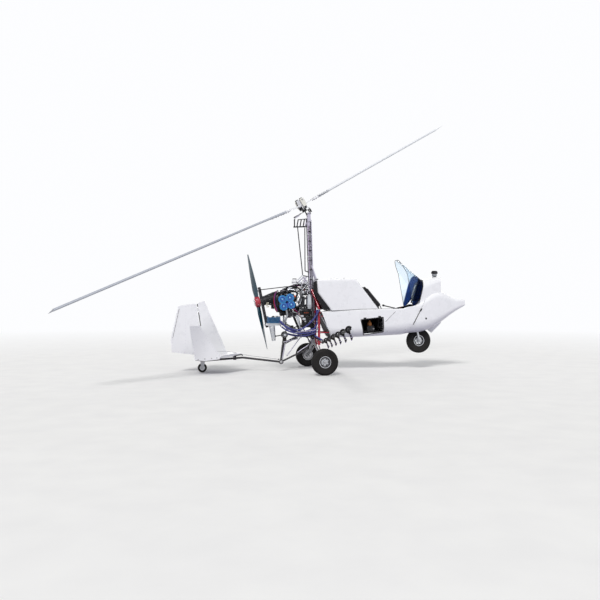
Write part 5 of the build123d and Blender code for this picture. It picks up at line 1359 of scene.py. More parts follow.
# Columns: start, end, radius, finish
RODS = (
    ((-300, -100, 1400), (-228, -92, 1462), 6, "alloy"), ((-262, -118, 1340), (-210, -100, 1440), 5, "mast_paint"),
    ((-236, -134, 1300), (-150, -96, 1400), 5, "alloy"), ((-150, -110, 1240), (-118, -70, 1380), 6, "mast_paint"),
    ((-120, -90, 1440), (-110, -70, 1560), 6, "mast_paint"), ((-290, -200, 1240), (-262, -150, 1120), 9, "alloy"),
    ((-300, -206, 1190), (-280, -196, 1080), 8, "alloy"), ((-344, -210, 900), (-282, -190, 690), 11, "alloy"),
    ((-420, -206, 960), (-330, -196, 930), 8, "alloy"), ((-372, -200, 876), (-290, -180, 930), 6, "bolt_steel"),
    ((-520, 100, 1300), (-420, 130, 1330), 9, "alloy"), ((-640, -60, 1236), (-590, -140, 1262), 12, "engine_black"),
    ((-600, -150, 1268), (-470, -170, 1290), 10, "engine_black"),
    ((-470, -150, 1306), (-380, -170, 1300), 12, "alloy"),
    ((-480, -130, 1268), (-360, -150, 1290), 14, "engine_black"),
    ((-276, -60, 1180), (-180, -40, 1300), 8, "engine_black"),
)
# Columns: finish, start, end, width, thickness; on both sides
LINKS = (
    ("mast_paint", (-200, 40, 1440), (-146, 40, 1512), 13, 4),
    ("mast_paint", (-146, 46, 1440), (-200, 46, 1512), 13, 4),
    ("mast_paint", (-290, 52, 1420), (-196, 46, 1506), 12, 4), ("alloy", (-286, 42, 1462), (-212, 34, 1540), 10, 4),
    ("alloy", (-260, 128, 1330), (-168, 70, 1250), 12, 4), ("alloy", (-236, 150, 1120), (-148, 70, 1180), 14, 4),
    ("engine_black", (-248, 160, 1090), (-150, 84, 1010), 18, 5),
)
# Columns: place ahead, to port and above the ground, radius, height
CANISTERS = ((-560, 0, 1236, 30, 46), (-612, -28, 1226, 16, 40), (-612, 30, 1226, 16, 34), (-186, 72, 1216, 26, 70),
             (-196, -64, 1222, 20, 60))


class GYRO_OT_engine_clutter(bpy.types.Operator):
    """Hoses, looms, filters, brackets, linkages and boxes packed round the engine and the mast"""
    bl_idname = "gyro.engine_clutter"
    bl_label = "Engine clutter"

    def execute(self, context):
        for table, prefix in ((TOP_LEADS, "top_lead"), (SIDE_LEADS, "side_lead")):
            for n, (name, radius, route) in enumerate(table):
                wires(f"{prefix}_{n}", [route], radius, name)
                if radius > 6 and name != "alloy":
                    tray = Tray(f"{prefix}_{n}_clamp")
                    start_clamp(tray, route[0], route[1], 12, radius + 0.6, 8)
                    tray.empty()
        tray = Tray("clutter")
        for side in (1, -1):
            rod(tray["alloy"], (-462, side * 112, 1322), (-398, side * 110, 1336), 14)
            for n in range(9):
                hoop(tray["engine_black"], (-438 - 10.4 * n, side * 60, 1290), (1, 0, 0), 40, 1.8, 28)
            lathe(tray["alloy"], [(36, 0), (40, 2), (38, 6), (12, 8)], aim((-525.5, side * 60, 1290), (-1, 0, 0)), 28)
            for name, start, end, width, thick in LINKS:
                link(tray[name], mirrored(start, side), mirrored(end, side), width, thick, (0, side, 0))
            rod(tray["bolt_steel"], (-330, side * 156, 1290), (-330, side * 176, 1290), 22, 24)
            for x in (-190, -168, -146):
                rod(tray["mast_paint"], (x, side * 28, 1400), (x + 8, side * 33, 1460), 4.5)
        side_plate(tray["mast_paint"], [(-212, 1376), (-120, 1390), (-120, 1402), (-212, 1388)], -52, 52)
        side_plate(tray["engine_black"], [(-300, 1326), (-120, 1340), (-120, 1346), (-300, 1332)], -78, 78)
        block(tray["engine_black"], (-300, -172, 1036), (-206, -92, 1196))
        for z in range(1046, 1183, 17):
            block(tray["engine_black"], (-306, -178, z), (-200, -90, z + 5))
        block(tray["black_plastic"], (-222, -152, 908), (-134, -88, 968))
        for x in (-206, -178, -150):
            tray.steel([(5, 0), (5, 6), (3.4, 8)], aim((x, -120, 968)), 10)
            lathe(tray["signal_orange"], [(6, 0), (6, 3)], aim((x, -152.2, 936), STARBOARD), 12)
        for low, high in DARK_BOXES:
            block(tray["engine_black"], low, high)
            for x, z in product((low[0] + 12, high[0] - 12), (low[2] + 12, high[2] - 12)):
                tray.bolt((x, low[1], z), STARBOARD, 4.5, 4)
        for low, high in PALE_BOXES:
            block(tray["alloy"], low, high)
            tray.bolt(((low[0] + high[0]) / 2, low[1], (low[2] + high[2]) / 2), STARBOARD, 6, 5)
        for start, end, radius, name in RODS:
            rod(tray[name], start, end, radius)
            for spot in (start, end):
                tray.steel([(radius * 1.25, -5), (radius * 1.25, 5)], aim(spot, Vector(end) - Vector(start)), 12)
        sender = aim((-372, -196, 1192), (0.3, -1, 0.4))
        lathe(tray["signal_orange"], [(13, 0), (15, 4), (15, 22), (11, 26)], sender, 20)
        lathe(tray["alloy"], [(18, -20), (18, 0), (15, 3)], sender, 20)
        for x, y, z, radius in ((-812, -70, 1060, 12), (-806, -92, 1086, 8), (-800, -60, 1030, 9)):
            rod(tray["cream_paint"], (x, y, z), (x + 40, y + 4, z + 6), radius)
        for x, z in ((-254, 884), (-222, 838)):
            block(tray["alloy"], (x - 20, -206, z - 16), (x + 24, -168, z + 16))
            tray.bolt((x, -206, z), STARBOARD, 8, 8)
        for x, y, z, r, h in CANISTERS:
            profile = [(r * 0.9, 0), (r, 3), (r, h * 0.8), (r * 0.8, h), (r * 0.4, h)]
            lathe(tray["engine_black"], profile, aim((x, y, z)), 28)
            tray.steel([(r * 0.4, h), (r * 0.4, h + 6), (r * 0.3, h + 7)], aim((x, y, z)), 12)
        tray.empty(0.0008)
        return {"FINISHED"}


# Columns: finish, radius, route in millimetres ahead, to port and above the ground
HOSES = (
    ("hose", 14,
     [(-598, -206, 800), (-592, -250, 770), (-510, -246, 716), (-420, -226, 680), (-336, -238, 652),
      (-230, -236, 690), (-110, -225, 790), (-30, -214, 880), (10, -206, 960), (22, -192, 990)]),
    ("hose", 12,
     [(-580, -212, 720), (-540, -250, 680), (-440, -246, 634), (-336, -238, 612),
      (-200, -222, 608), (-76, -206, 632), (-24, -196, 660), (8, -192, 690)]),
    ("hose", 9,
     [(-470, -70, 604), (-400, -150, 590), (-300, -206, 576), (-190, -212, 574), (-80, -200, 596), (0, -190, 640)]),
    ("lilac_plastic", 7,
     [(-330, -226, 634), (-250, -226, 640), (-160, -216, 648), (-60, -204, 660), (4, -192, 676)]),
    ("wire_black", 7, [(-506, -52, 636), (-470, -90, 668), (-400, -110, 700), (-300, -96, 716), (-210, -60, 712)]),
    ("wire_black", 10, [(-128, -60, 640), (-100, -120, 600), (-60, -170, 560), (0, -200, 520), (50, -222, 492)]),
    ("wire_black", 8, [(-230, 60, 740), (-180, 110, 660), (-110, 150, 590), (-30, 190, 530), (48, 222, 492)]),
)
# Columns: place and way of a clamp on the engine's coolant pipes
PIPE_CLAMPS = (((-336, -239, 650), (1, 0, 0.2)), ((-420, -222, 668), (1, 0, -0.4)), ((-190, -190, 638), (1, 0, 0)),
               ((-110, -182, 664), (1, 0.2, 0.4)), ((-9, -170, 800), (0, 0, 1)), ((-9, -170, 900), (0, 0, 1)))
MUFFLER_OUTLET = Vector((-722, -115, 740))
MUFFLER_SEAM = ((-816, -57, 754), (-580, -57, 754), (-580, -173, 754), (-816, -173, 754))
TAILPIPE_WAY = Vector((27, 0, -217)).normalized()
PUMP = Vector((-506, 0, 583))
# Columns: finish, profile of radius and height, place, way, steps
TURNED = (
    ("black_plastic", ((20, 0), (23, 1), (23, 12), (19, 15), (7, 15)), (-130, -165, 1233), (0, 0, 1), 28),
    ("bolt_steel", ((8, 0), (8, 8), (6, 10), (6, 20)), (-128, -200, 1204), (0, 0, 1), 8),
    ("bolt_steel", ((8, 0), (8, 8), (6, 10), (6, 20)), (-158, -165, 1204), (0, 0, 1), 8),
    ("black_plastic", ((31, -2), (34, 0), (34, 9), (29, 12), (10, 12)), (-351, -50, 1471), (0, 0, 1), 32),
    ("signal_orange", ((11, 0), (11, 9), (7, 11), (7, 16)), (-204, -92, 883), (0, 0, 1), 18),
    ("black_plastic", ((11, 0), (11, 9), (7, 11), (7, 16)), (-112, -92, 883), (0, 0, 1), 18),
    ("alloy", ((21, 0), (23, 2), (23, 10), (14, 12)), (-506, -62, 583), (0, -1, 0), 24),
    ("black_plastic", ((9, -12), (16, -8), (18, 0), (14, 9), (6, 12)), (-655, 0, 560), (-1, 0, -0.1), 24),
    ("bolt_steel", ((17, 0), (17, 8), (24, 10), (24, 18), (18, 21), (6, 21)), (-646, -135, 867), (0, 0, 1), 28),
    ("bolt_steel", ((16, 0), (16, 24), (19, 26)), (-780, -135, 850), (-1, 0, 0), 20),
)


BATTERY_LIVE = ((-204, -92, 896), (-216, -60, 912), (-226, 0, 930), (-230, 40, 960))
BATTERY_EARTH = ((-112, -92, 896), (-106, -52, 900), (-90, -36, 860), (-84, -34, 800))


def start_clamp(tray, end, second, inset, radius, width):
    """A hose clamp set in from the end of a route, across the way to its second point."""
    way = (Vector(second) - Vector(end)).normalized()
    band(tray["bolt_steel"], Vector(end) + way * inset, way, radius, width)


class GYRO_OT_plumbing(bpy.types.Operator):
    """Hoses with their clamps, radiator slats and cap, exhaust wraps, tank fittings and battery leads"""
    bl_idname = "gyro.plumbing"
    bl_label = "Plumbing"

    def execute(self, context):
        tray = Tray("plumbing")
        for n, (name, radius, route) in enumerate(HOSES):
            wires(f"hose_{n}", [route], radius, name)
            for first, second in ((0, 1), (-1, -2)):
                start_clamp(tray, route[first], route[second], 14, radius + 0.8, 10)
        for place, way in PIPE_CLAMPS:
            band(tray["bolt_steel"], place, way, 15.6, 9)
        for low, high in ((-211.8, -210.2), (-59.8, -58.2)):
            for x in range(-782, -616, 5):
                block(tray["radiator_paint"], (x, low, 786), (x + 1.6, high, 866))
        for x, y in product((-790, -610), (-196, -74)):
            tray.bolt((x, y, 879), (0, 0, 1), 6, 5)
        self.exhaust(tray)
        for z in (1062, 1190):
            collar(tray["steel"], aim((-130, -165, z)), 51, 53.8, -8, 8, 1, 40)
            link(tray["steel"], (-128, -112, z), (-70, -34, z), 16, 4, (0.8, -0.6, 0))
        for name, profile, place, way, steps in TURNED:
            lathe(tray[name], profile, aim(place, way), steps)
        collar(tray["black_plastic"], aim((-351, -50, 1418)), 43.5, 45, 0, 8, 2, 40)
        for x in (-196, -120):
            block(tray["webbing"], (x - 9, -174.6, 711), (x + 9, -172.4, 884))
            block(tray["webbing"], (x - 9, -174.6, 883.2), (x + 9, -64, 885))
            block(tray["bolt_steel"], (x - 13, -177, 790), (x + 13, -174.4, 812))
        collar(tray["bolt_steel"], aim(PUMP - Vector((0, 44, 0)), (0, 1, 0)), 47, 49, 0, 10, 2, 40)
        for a, b in circle(8, 38):
            for side in (-1, 1):
                tray.bolt(PUMP + Vector((a, side * 48, b)), (0, side, 0), 5, 5)
        block(tray["lilac_plastic"], (-316, -160, 560), (-250, -112, 602))
        for x in (-304, -283, -262):
            lathe(tray["alloy"], [(8, 0), (8, 14), (10, 16), (10, 24)], aim((x, -136, 602)), 12)
            lathe(tray["alloy"], [(8, 0), (8, 12), (10, 14), (10, 22)], aim((x, -160, 581), STARBOARD), 12)
        tray.empty(0.0006)
        wires("battery_leads", [BATTERY_LIVE], 4.5, "wire_red")
        wires("battery_earth", [BATTERY_EARTH], 4.5, "wire_black")
        return {"FINISHED"}

    def exhaust(self, tray):
        """Flanges and wraps of the header pipes, the muffler's seam and the rings of the tailpipe."""
        for side, entry in ((1, -80), (-1, -150)):
            top, knee = on(ENGINE, -20, side * 209, -64), Vector((-488, side * 209, 905))
            low = Vector((-530, entry, 755))
            way = (knee - top).normalized()
            for n in range(7):
                hoop(tray["webbing"], top + way * (24 + 17 * n), way, 15.6, 2.6, 20)
            down = ENGINE.to_3x3() @ Vector((0, 0, -1))
            flange = aim(on(ENGINE, -20, side * 209, -66), down)
            plate(tray["bolt_steel"], rectangle(34, 14), 0, 5, flange)
            for x in (-26, 26):
                tray.bolt(on(flange, x, 0, 5), down, 6, 6)
            way = (low - knee).normalized()
            for share, shift in product((0.3, 0.62), (0, 9)):
                hoop(tray["bolt_steel"], knee.lerp(low, share) + way * shift, way, 16.4, 2.2, 20)
        seam = spread(MUFFLER_SEAM + MUFFLER_SEAM[:1], 26)
        tube(tray["pipe_metal"], seam[:-1], 2.6, 6, loop=True)
        for share, radius in ((0.12, 49), (0.45, 42), (0.86, 32)):
            spot = MUFFLER_OUTLET + TAILPIPE_WAY * 248 * share
            collar(tray["pipe_metal"], aim(spot, TAILPIPE_WAY), radius - 2, radius + 1.6, -3, 3, 1, 36)
        collar(tray["bolt_steel"], aim(MUFFLER_OUTLET + TAILPIPE_WAY * 225, TAILPIPE_WAY), 30.4, 32, -5, 5, 1, 36)


class GYRO_OT_propeller(bpy.types.Operator):
    """Hub plate with its bolts and the crimson boss of the propeller"""
    bl_idname = "gyro.propeller"
    bl_label = "Propeller"

    def execute(self, context):
        tray = Tray("propeller", "propeller")
        turn = PROP.to_3x3()
        lathe(tray["alloy"], [(17, -42), (52, -42), (52, -46), (48, -48), (17, -48)], PROP, 48, True)
        lathe(tray["crimson_paint"], [(58, -40), (80, -38), (86, -31), (86, 31), (80, 38), (58, 40)], PROP, 56, True)
        for a, b in circle(6, 1, 0.5):
            tray.bolt(on(PROP, 38 * a, 38 * b, -48), turn @ Vector((0, 0, -1)), 6.5, 7)
            tray.bolt(on(PROP, 86 * a, 86 * b, 0), turn @ Vector((a, b, 0)), 5, 4)
        tray.empty(0.0008)
        return {"FINISHED"}


AXLE_SLEEVE = 92 * 0.42
# Columns: start, end, radius of the rods along the keel
KEEL_RODS = (
    ((-500, -38, 440), (-543, -38, 205), 9), ((-300, -44, 520), (-520, -44, 470), 8),
    ((-500, 38, 440), (-543, 38, 205), 9), ((-300, 44, 520), (-520, 44, 470), 8),
    ((-240, -34, 560), (-470, -34, 250), 8), ((-120, -36, 420), (-300, -36, 300), 7),
)
BRAKE_HOSE = ((-70, 40, 560), (-72, 34, 620), (-78, 36, 700))


class GYRO_OT_gear(bpy.types.Operator):
    """Brake callipers and lines, hub nuts, gear bolts, keel rods, clamps and the boom lugs' bolts"""
    bl_idname = "gyro.gear"
    bl_label = "Gear and keel"

    def execute(self, context):
        tray = Tray("gear")
        for side, name in SIDES:
            self.main_leg(tray, side, name)
        for start, end, radius in KEEL_RODS:
            rod(tray["mast_paint"], start, end, radius)
            for spot in (start, end):
                tray.steel([(radius * 1.3, -7), (radius * 1.3, 7)], aim(spot, (0, 1, 0)), 14)
        for way in (1, -1):
            out = (0, way, 0)
            tray.bolt((-561, way * 30, 150), out, 15, 9)
            for a, b in circle(5, 26):
                tray.bolt((a - 561, way * 30, b + 150), out, 4, 4)
            for x, z in ((-130, 600), (-50, 612), (-50, 540), (-80, 540)):
                tray.bolt((x, way * 31.4, z), out, 6, 5)
            tray.bolt((-403, way * 88, 996), out, 7, 6)
            tray.bolt((-245, way * 37, 606), out, 7, 6)
        wires("brake_hoses", [[mirrored(point, side) for point in BRAKE_HOSE] for side in (1, -1)], 3.4, "wire_black")
        for share in (0.2, 0.5, 0.8):
            spot = Vector((-253, 0, 577)).lerp(Vector((-529, 0, 434)), share)
            collar(tray["alloy"], aim(spot, (-276, 0, -143)), 20, 22, -7, 7, 2, 28)
        tray.empty(0.0006)
        nose = Tray("nose_leg", "nose_steer")
        for side in (1, -1):
            out = (0, side, 0)
            for z in (190, 206):
                nose.bolt(on(STEERING, 0, side * 61, z), out, 6, 5)
            nose.steel([(15, 0), (15, 7), (13, 9)], aim(Vector(NOSE_WHEEL) + Vector((0, side * 61, 0)), out), 6)
            link(nose["alloy"], on(STEERING, 0, side * 64, 30), on(STEERING, 0, side * 64, 176), 18, 5, out)
        nose.empty(0.0006)
        return {"FINISHED"}

    def main_leg(self, tray, side, name):
        """A main wheel's calliper, axle nuts and brake line, and the fittings of the frame on its side."""
        y, inward = side * (HALF_TRACK - 62), (0, -side, 0)
        sleeve = side * (HALF_TRACK - AXLE_SLEEVE)
        block(tray["engine_black"], (-88, y - 15, WHEEL_RADIUS + 20), (-50, y + 15, WHEEL_RADIUS + 64))
        for z in (30, 54):
            tray.bolt((-70, y - side * 15, WHEEL_RADIUS + z), inward, 6, 6)
        arm = y - side * 12
        link(tray["alloy"], (-8, arm, WHEEL_RADIUS), (-66, arm, WHEEL_RADIUS + 34), 20, 6, inward)
        tray.steel([(13, 0), (20, 2), (20, 6), (14, 8)], aim((0, sleeve - side * 63, WHEEL_RADIUS), inward), 24)
        nut = aim((0, side * (HALF_TRACK + AXLE_SLEEVE + 8), WHEEL_RADIUS), (0, side, 0))
        tray.steel([(10.5, 0), (10.5, 6), (8, 8)], nut, 6)
        line = [(-70, y, WHEEL_RADIUS + 66), (-60, y * 0.86, 300), (-64, y * 0.5, 376), (-66, side * 90, 470),
                (-70, side * 40, 560)]
        wires(f"brake_line_{name}", [line], 3.4, "wire_black")
        root, foot = Vector((-41, side * 45, 466)), Vector((0, sleeve - side * 41, WHEEL_RADIUS))
        for share in (0.25, 0.5, 0.75):
            collar(tray["wire_black"], aim(root.lerp(foot, share), (41, side * 650, -264)), 20, 21.2, -5, 5)
        for x, z in ((-52, 484), (-32, 484), (-52, 456), (-32, 456)):
            tray.bolt((x, side * 61.4, z), (0, side, 0), 6, 5)
        for z in (880, 620):
            tray.steel([(16, -3), (16, 3)], aim((52, side * 170, z), (1, 0, 0)), 6)
        for z in (952, 700, 443):
            collar(tray["crimson_paint"], aim((27, side * 170, z)), 20, 22.4, -13, 13, 2, 28)
        root = mirrored(BOOM_ROOT, side)
        way = (mirrored(BOOM_TIP, side) - root).normalized()
        lug = aim(root + way * 8, way)
        for a, b in circle(4, 20, 0.5):
            tray.bolt(on(lug, a, b, 0), way, 3.6, 4)


HINGE_TOP, HINGE_FOOT = Vector((-1896, 0, 1084)), Vector((-1775, 0, 285))
# Side-view runs of rivets: ahead, above the ground
FIN_RUNS = (((-1792, 1096), (-1436, 268)), ((-1868, 1074), (-1790, 330)), ((-1800, 1096), (-1866, 1076)))
END_PLATE_RUNS = (((-1990, 722), (-1872, 728)), ((-1872, 728), (-1572, 292)), ((-1990, 700), (-1916, 262)))
RUDDER_RUNS = (
    ((-1930, 1050), (-2170, 1022)), ((-2170, 1022), (-2276, 560)), ((-2272, 520), (-2262, 342)),
    ((-2262, 342), (-1960, 300)), ((-1922, 1020), (-1808, 330)), ((-2060, 1030), (-2080, 320)),
)
# Route of the port rudder cable: ahead, to port, above the ground
RUDDER_CABLE = (
    (-600, 25, 190), (-880, 22, 232), (-1180, 25, 262), (-1330, 30, 330), (-1600, 34, 330), (-1770, 36, 324),
)
# Dark rods along the keel under the stabiliser: painted shade of its underside
KEEL_SHADE_RODS = ((-1190, 272), (-1352, 254), (-1760, 234))


class GYRO_OT_tail(bpy.types.Operator):
    """Rivet rows, seals of the hinge line, rods, bolts, cables and fairleads of the tail"""
    bl_idname = "gyro.tail"
    bl_label = "Tail"

    def execute(self, context):
        tray = Tray("tail")
        fin, plates, flat = surface("fin"), surface("end_plates"), surface("stabiliser")
        for side, name in SIDES:
            out = (0, side, 0)
            for run in FIN_RUNS:
                rivets(tray["lilac_plastic"], *laid(fin, run, side, 46), 3.4, 1.2)
            for run in END_PLATE_RUNS:
                rivets(tray["lilac_plastic"], *laid(plates, run, side, 42), 3.4, 1.2)
            for x in (-1880, -1780, -1680, -1600):
                tray.bolt((x, side * 496.6, 296 + (x + 1171) * 61 / 779), out, 7, 5)
            rail = [(-1580, side * 489, 233), (-1780, side * 489, 212), (-1922, side * 489, 228)]
            tube(tray["rubber"], spread(rail, 30), 3, 8)
            wires(f"rudder_cable_{name}", [[mirrored(point, side) for point in RUDDER_CABLE]], 2.4, "bolt_steel")
            for x, z in ((-600, 190), (-1180, 262)):
                block(tray["engine_black"], (x - 9, side * 22 - 8, z - 7), (x + 9, side * 22 + 8, z + 7))
            tray.steel([(7, 0), (7, 8), (4, 10)], aim((-1770, side * 28.2, 324), out), 10)
        for low, high in ((0.175, 0.445), (0.555, 0.825), (0.935, 0.99)):
            start, end = HINGE_FOOT.lerp(HINGE_TOP, low), HINGE_FOOT.lerp(HINGE_TOP, high)
            strip = [(start.x - 1, start.z), (start.x + 13, start.z), (end.x + 13, end.z), (end.x - 1, end.z)]
            side_plate(tray["black_plastic"], strip, -6, 6)
        # Dark rods under the stabiliser: painted shade of its underside
        for (x, z), (far_x, far_z) in zip(KEEL_SHADE_RODS, KEEL_SHADE_RODS[1:]):
            for y in (-34, 34):
                rod(tray["engine_black"], (x, y, z), (far_x, y, far_z - 4), 6)
        for x, z, side in product((-1300, -1700), (212, 226), (1, -1)):
            tray.bolt((x, side * 8, z), (0, side, 0), 5, 4)
        for x, y in product((-1250, -1450, -1650, -1850), (-300, -150, 150, 300)):
            hit, normal = flat.ray_cast(at(x, y, 900), Vector((0, 0, -1)))[:2]
            if hit:
                rivets(tray["lilac_plastic"], [local(hit)], [normal], 4, 1.4)
        for side in (1, -1):
            tray.bolt((TAIL_WHEEL[0], side * 36, TAIL_WHEEL[2]), (0, side, 0), 7, 5)
            tray.bolt((-1805, side * 31.2, 170), (0, side, 0), 6, 5)
        tray.empty()
        self.rudder(Tray("rudder_trim", "rudder"))
        return {"FINISHED"}

    def rudder(self, tray):
        """Rivets, trim tab seal, horns and trim tab hinges that swing with the rudder."""
        skin_of_rudder = surface("rudder")
        for side in (1, -1):
            for run in RUDDER_RUNS:
                rivets(tray["lilac_plastic"], *laid(skin_of_rudder, run, side, 46), 3.4, 1.2)
            ribbon(tray["rubber"], *laid(skin_of_rudder, [(-2168, 1000), (-2268, 540)], side, 30), 5, 1.4)
            horn = aim(*onto(skin_of_rudder, -1850, 340, side))
            plate(tray["bolt_steel"], [(-10, -24), (12, -24), (12, 24), (-10, 24)], 0, 3, horn)
        for z in (560, 700, 840):
            x = -2172 - (930 - z) * 102 / 460
            block(tray["bolt_steel"], (x - 14, -4.2, z - 9), (x + 14, 4.2, z + 9))
        tray.empty()


NOZZLE_START, NOZZLE_STEP = 0.18, 0.157


class GYRO_OT_spray(bpy.types.Operator):
    """Nozzle tips and rings, feed lines with clips along the booms, end caps and stay fittings"""
    bl_idname = "gyro.spray"
    bl_label = "Spray gear"

    def execute(self, context):
        tray = Tray("spray")
        lilac = tray["lilac_plastic"]
        for side, name in SIDES:
            root, tip = mirrored(BOOM_ROOT, side), mirrored(BOOM_TIP, side)
            way = (tip - root).normalized()
            feed = [(60, side * 226, 500)]
            for n in range(6):
                spot = root.lerp(tip, NOZZLE_START + NOZZLE_STEP * n)
                if n:
                    feed.append(root.lerp(tip, NOZZLE_START + NOZZLE_STEP * (n - 0.5)) + Vector((-4, 0, 20)))
                feed.append(spot + Vector((-2, 0, 22)))
                nozzle = aim(spot + Vector((30, 0, -111)), (0, 0, -1))
                lathe(lilac, [(9, -1), (9, 4), (6.5, 6), (6.5, 11), (3, 12)], nozzle, 20)
                collar(lilac, aim(spot + Vector((30, 0, -78)), (0, 0, -1)), 15.6, 17.4, 0, 10, 2)
                collar(lilac, aim(spot + Vector((12, 0, -50)), (26, 0, -61)), 11.2, 12.6, 0, 9, 1, 18)
                for shift in (-17, 17):
                    collar(tray["bolt_steel"], aim(spot + way * shift, way), 16.3, 17.6, -3, 3, 0.6)
                lathe(tray["alloy"], [(8, 0), (8, 7), (6, 9)], aim(spot + Vector((24, 0, 21)), (0.8, 0, 0.6)), 6)
            wires(f"boom_line_{name}", [feed], 4.5, "wire_black")
            for n in range(9):
                collar(tray["engine_black"], aim(root.lerp(tip, 0.1 + 0.098 * n), way), 16.2, 17.8, -5, 5)
            end_cap = [(11.8, -16), (12.8, -15), (12.8, -2), (10, 0), (4, 0)]
            lathe(tray["black_plastic"], end_cap, aim(tip, way), 24)
            anchor = root.lerp(tip, 0.45) + Vector((0, 0, 16))
            start = Vector((33, side * 184, 912))
            along = (anchor - start).normalized()
            for share in (0.03, 0.94):
                spot = start.lerp(anchor, share)
                rod(tray["bolt_steel"], spot - along * 16, spot + along * 16, 10, 6)
            collar(tray["crimson_paint"], aim((27, side * 170, 912)), 20, 22.6, -11, 11, 2, 28)
        tray.empty(0.0005)
        return {"FINISHED"}


FLOOR_REACH = 40000.0
# Columns: name, way to the lamp, angle in degrees, strength, colour
LAMPS = (
    ("key", (-0.30, -0.70, 0.62), 16.0, 2.15, (1.0, 0.985, 0.96)),
    ("fill", (0.75, -0.62, 0.34), 60.0, 0.34, (0.94, 0.97, 1.0)),
    ("back", (0.15, 0.85, 0.5), 60.0, 0.50, (1.0, 1.0, 1.0)),
)
CAMERA_PLACE = (-1974.0, -10865.0, 1060.0)
CAMERA_TURN = radians(9)
PICTURE_WIDTH, FOCAL_PIXELS, SHIFT_PIXELS = 600.0, 683.2, 5.0


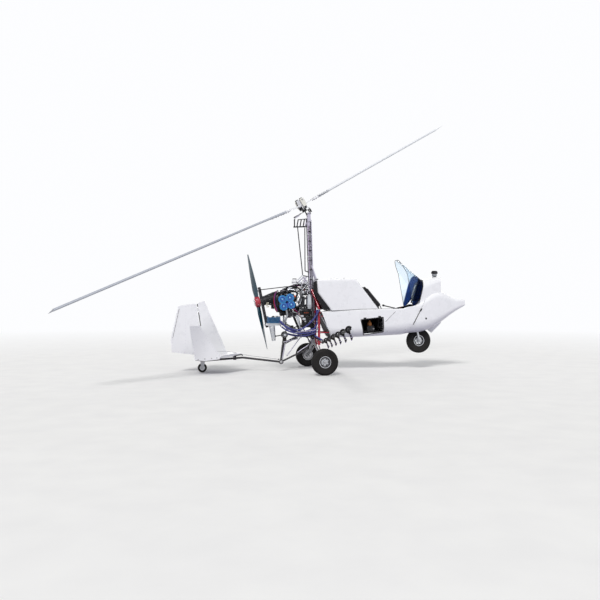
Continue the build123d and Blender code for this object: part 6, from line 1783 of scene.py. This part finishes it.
class GYRO_OT_stage(bpy.types.Operator):
    """Pale floor, soft lights and the camera at the photograph's angle"""
    bl_idname = "gyro.stage"
    bl_label = "Stage"

    def execute(self, context):
        bm = bmesh.new()
        block(bm, (-FLOOR_REACH, -FLOOR_REACH, -60), (FLOOR_REACH, FLOOR_REACH, -0.5))
        floor = bpy.data.objects.new("floor", mesh_of("floor", bm, smooth=False))
        context.scene.collection.objects.link(floor)
        floor.data.materials.append(self.floor_material())
        world = context.scene.world or bpy.data.worlds.new("World")
        context.scene.world = world
        world.use_nodes = True
        graph = Graph(world.node_tree)
        world.node_tree.nodes.clear()
        rays = graph.add("ShaderNodeLightPath").outputs
        seen = graph.math("MAXIMUM", rays["Is Camera Ray"],
                          graph.math("MAXIMUM", rays["Is Glossy Ray"], rays["Is Transmission Ray"]))
        strength = graph.span(seen, 0.0, 1.0, 0.44, 1.0)
        sky = graph.add("ShaderNodeBackground", {"Color": (0.98, 0.985, 1.0, 1), "Strength": strength})
        graph.add("ShaderNodeOutputWorld", {"Surface": sky.outputs[0]})
        for name, way, angle, power, colour in LAMPS:
            lamp = bpy.data.lights.new(name, "SUN")
            lamp.angle = radians(angle)
            lamp.energy = power
            lamp.color = colour
            holder = bpy.data.objects.new(name, lamp)
            context.scene.collection.objects.link(holder)
            holder.location = Vector(way) * 8
            holder.rotation_euler = Vector(way).to_track_quat("Z", "Y").to_euler()
        camera_data = bpy.data.cameras.new("photo_camera")
        camera_data.sensor_width = 36.0
        camera_data.lens = FOCAL_PIXELS / PICTURE_WIDTH * camera_data.sensor_width
        camera_data.shift_y = SHIFT_PIXELS / PICTURE_WIDTH
        camera_data.clip_end = 200.0
        camera = bpy.data.objects.new("photo_camera", camera_data)
        context.scene.collection.objects.link(camera)
        camera.location = at(*CAMERA_PLACE)
        camera.rotation_euler = (pi / 2, 0, -CAMERA_TURN)
        context.scene.camera = camera
        context.scene.view_settings.view_transform = "Standard"
        return {"FINISHED"}

    def floor_material(self):
        """Matt pale ground that fades to white far from the machine, and is darker in what it throws back."""
        material, graph, shader = new_material("stage_floor")
        shader.inputs["Roughness"].default_value = 0.9
        place = graph.add("ShaderNodeTexCoord").outputs["Object"]
        cloud = graph.add("ShaderNodeTexNoise", {"Vector": place, "Scale": 3.0, "Detail": 6.0})
        tone = graph.blend(graph.span(cloud.outputs[0], 0.3, 0.7), (0.80, 0.80, 0.80, 1), (0.84, 0.84, 0.835, 1))
        rays = graph.add("ShaderNodeLightPath").outputs
        graph.feed(shader.inputs["Base Color"], graph.blend(rays["Is Diffuse Ray"], tone, (0.34, 0.33, 0.42, 1)))
        away = graph.add("ShaderNodeVectorMath", {0: place}, operation="LENGTH").outputs["Value"]
        far = graph.math("MULTIPLY", graph.span(away, 6.0, 20.0), rays["Is Camera Ray"])
        white = graph.add("ShaderNodeEmission", {"Color": (0.98, 0.985, 1.0, 1), "Strength": 1.0})
        mixed = graph.add("ShaderNodeMixShader", {0: far, 1: shader.outputs[0], 2: white.outputs[0]})
        graph.feed(material.node_tree.nodes["Material Output"].inputs["Surface"], mixed.outputs[0])
        return material


OPERATORS = (
    GYRO_OT_finishes,
    GYRO_OT_stage,
    GYRO_OT_tyres,
    GYRO_OT_wheel_fittings,
    GYRO_OT_pod_trim,
    GYRO_OT_hopper_trim,
    GYRO_OT_screen_trim,
    GYRO_OT_cowl_trim,
    GYRO_OT_seat,
    GYRO_OT_cabin,
    GYRO_OT_mast_dress,
    GYRO_OT_rotor_head,
    GYRO_OT_blades,
    GYRO_OT_engine,
    GYRO_OT_engine_clutter,
    GYRO_OT_plumbing,
    GYRO_OT_propeller,
    GYRO_OT_gear,
    GYRO_OT_tail,
    GYRO_OT_spray,
)


class GYRO_PT_panel(bpy.types.Panel):
    """Lists the sizes, colours and steps of the gyrocopter's dressing"""
    bl_idname = "GYRO_PT_panel"
    bl_label = "Gyrocopter"
    bl_space_type = "VIEW_3D"
    bl_region_type = "UI"
    bl_category = "Gyrocopter"

    def draw(self, context):
        for settings in (context.scene.gyro_sizes, context.scene.gyro_colours):
            for key in settings.__annotations__:
                self.layout.prop(settings, key)
        for operator in OPERATORS:
            self.layout.operator(operator.bl_idname)


CLASSES = (GyroSizes, GyroColours, *OPERATORS, GYRO_PT_panel)


def register():
    for cls in CLASSES:
        bpy.utils.register_class(cls)
    bpy.types.Scene.gyro_sizes = PointerProperty(type=GyroSizes)
    bpy.types.Scene.gyro_colours = PointerProperty(type=GyroColours)


def unregister():
    del bpy.types.Scene.gyro_colours
    del bpy.types.Scene.gyro_sizes
    for cls in reversed(CLASSES):
        bpy.utils.unregister_class(cls)


def main():
    register()
    for operator in OPERATORS:
        section, name = operator.bl_idname.split(".")
        getattr(getattr(bpy.ops, section), name)()


if __name__ == "__main__":
    main()
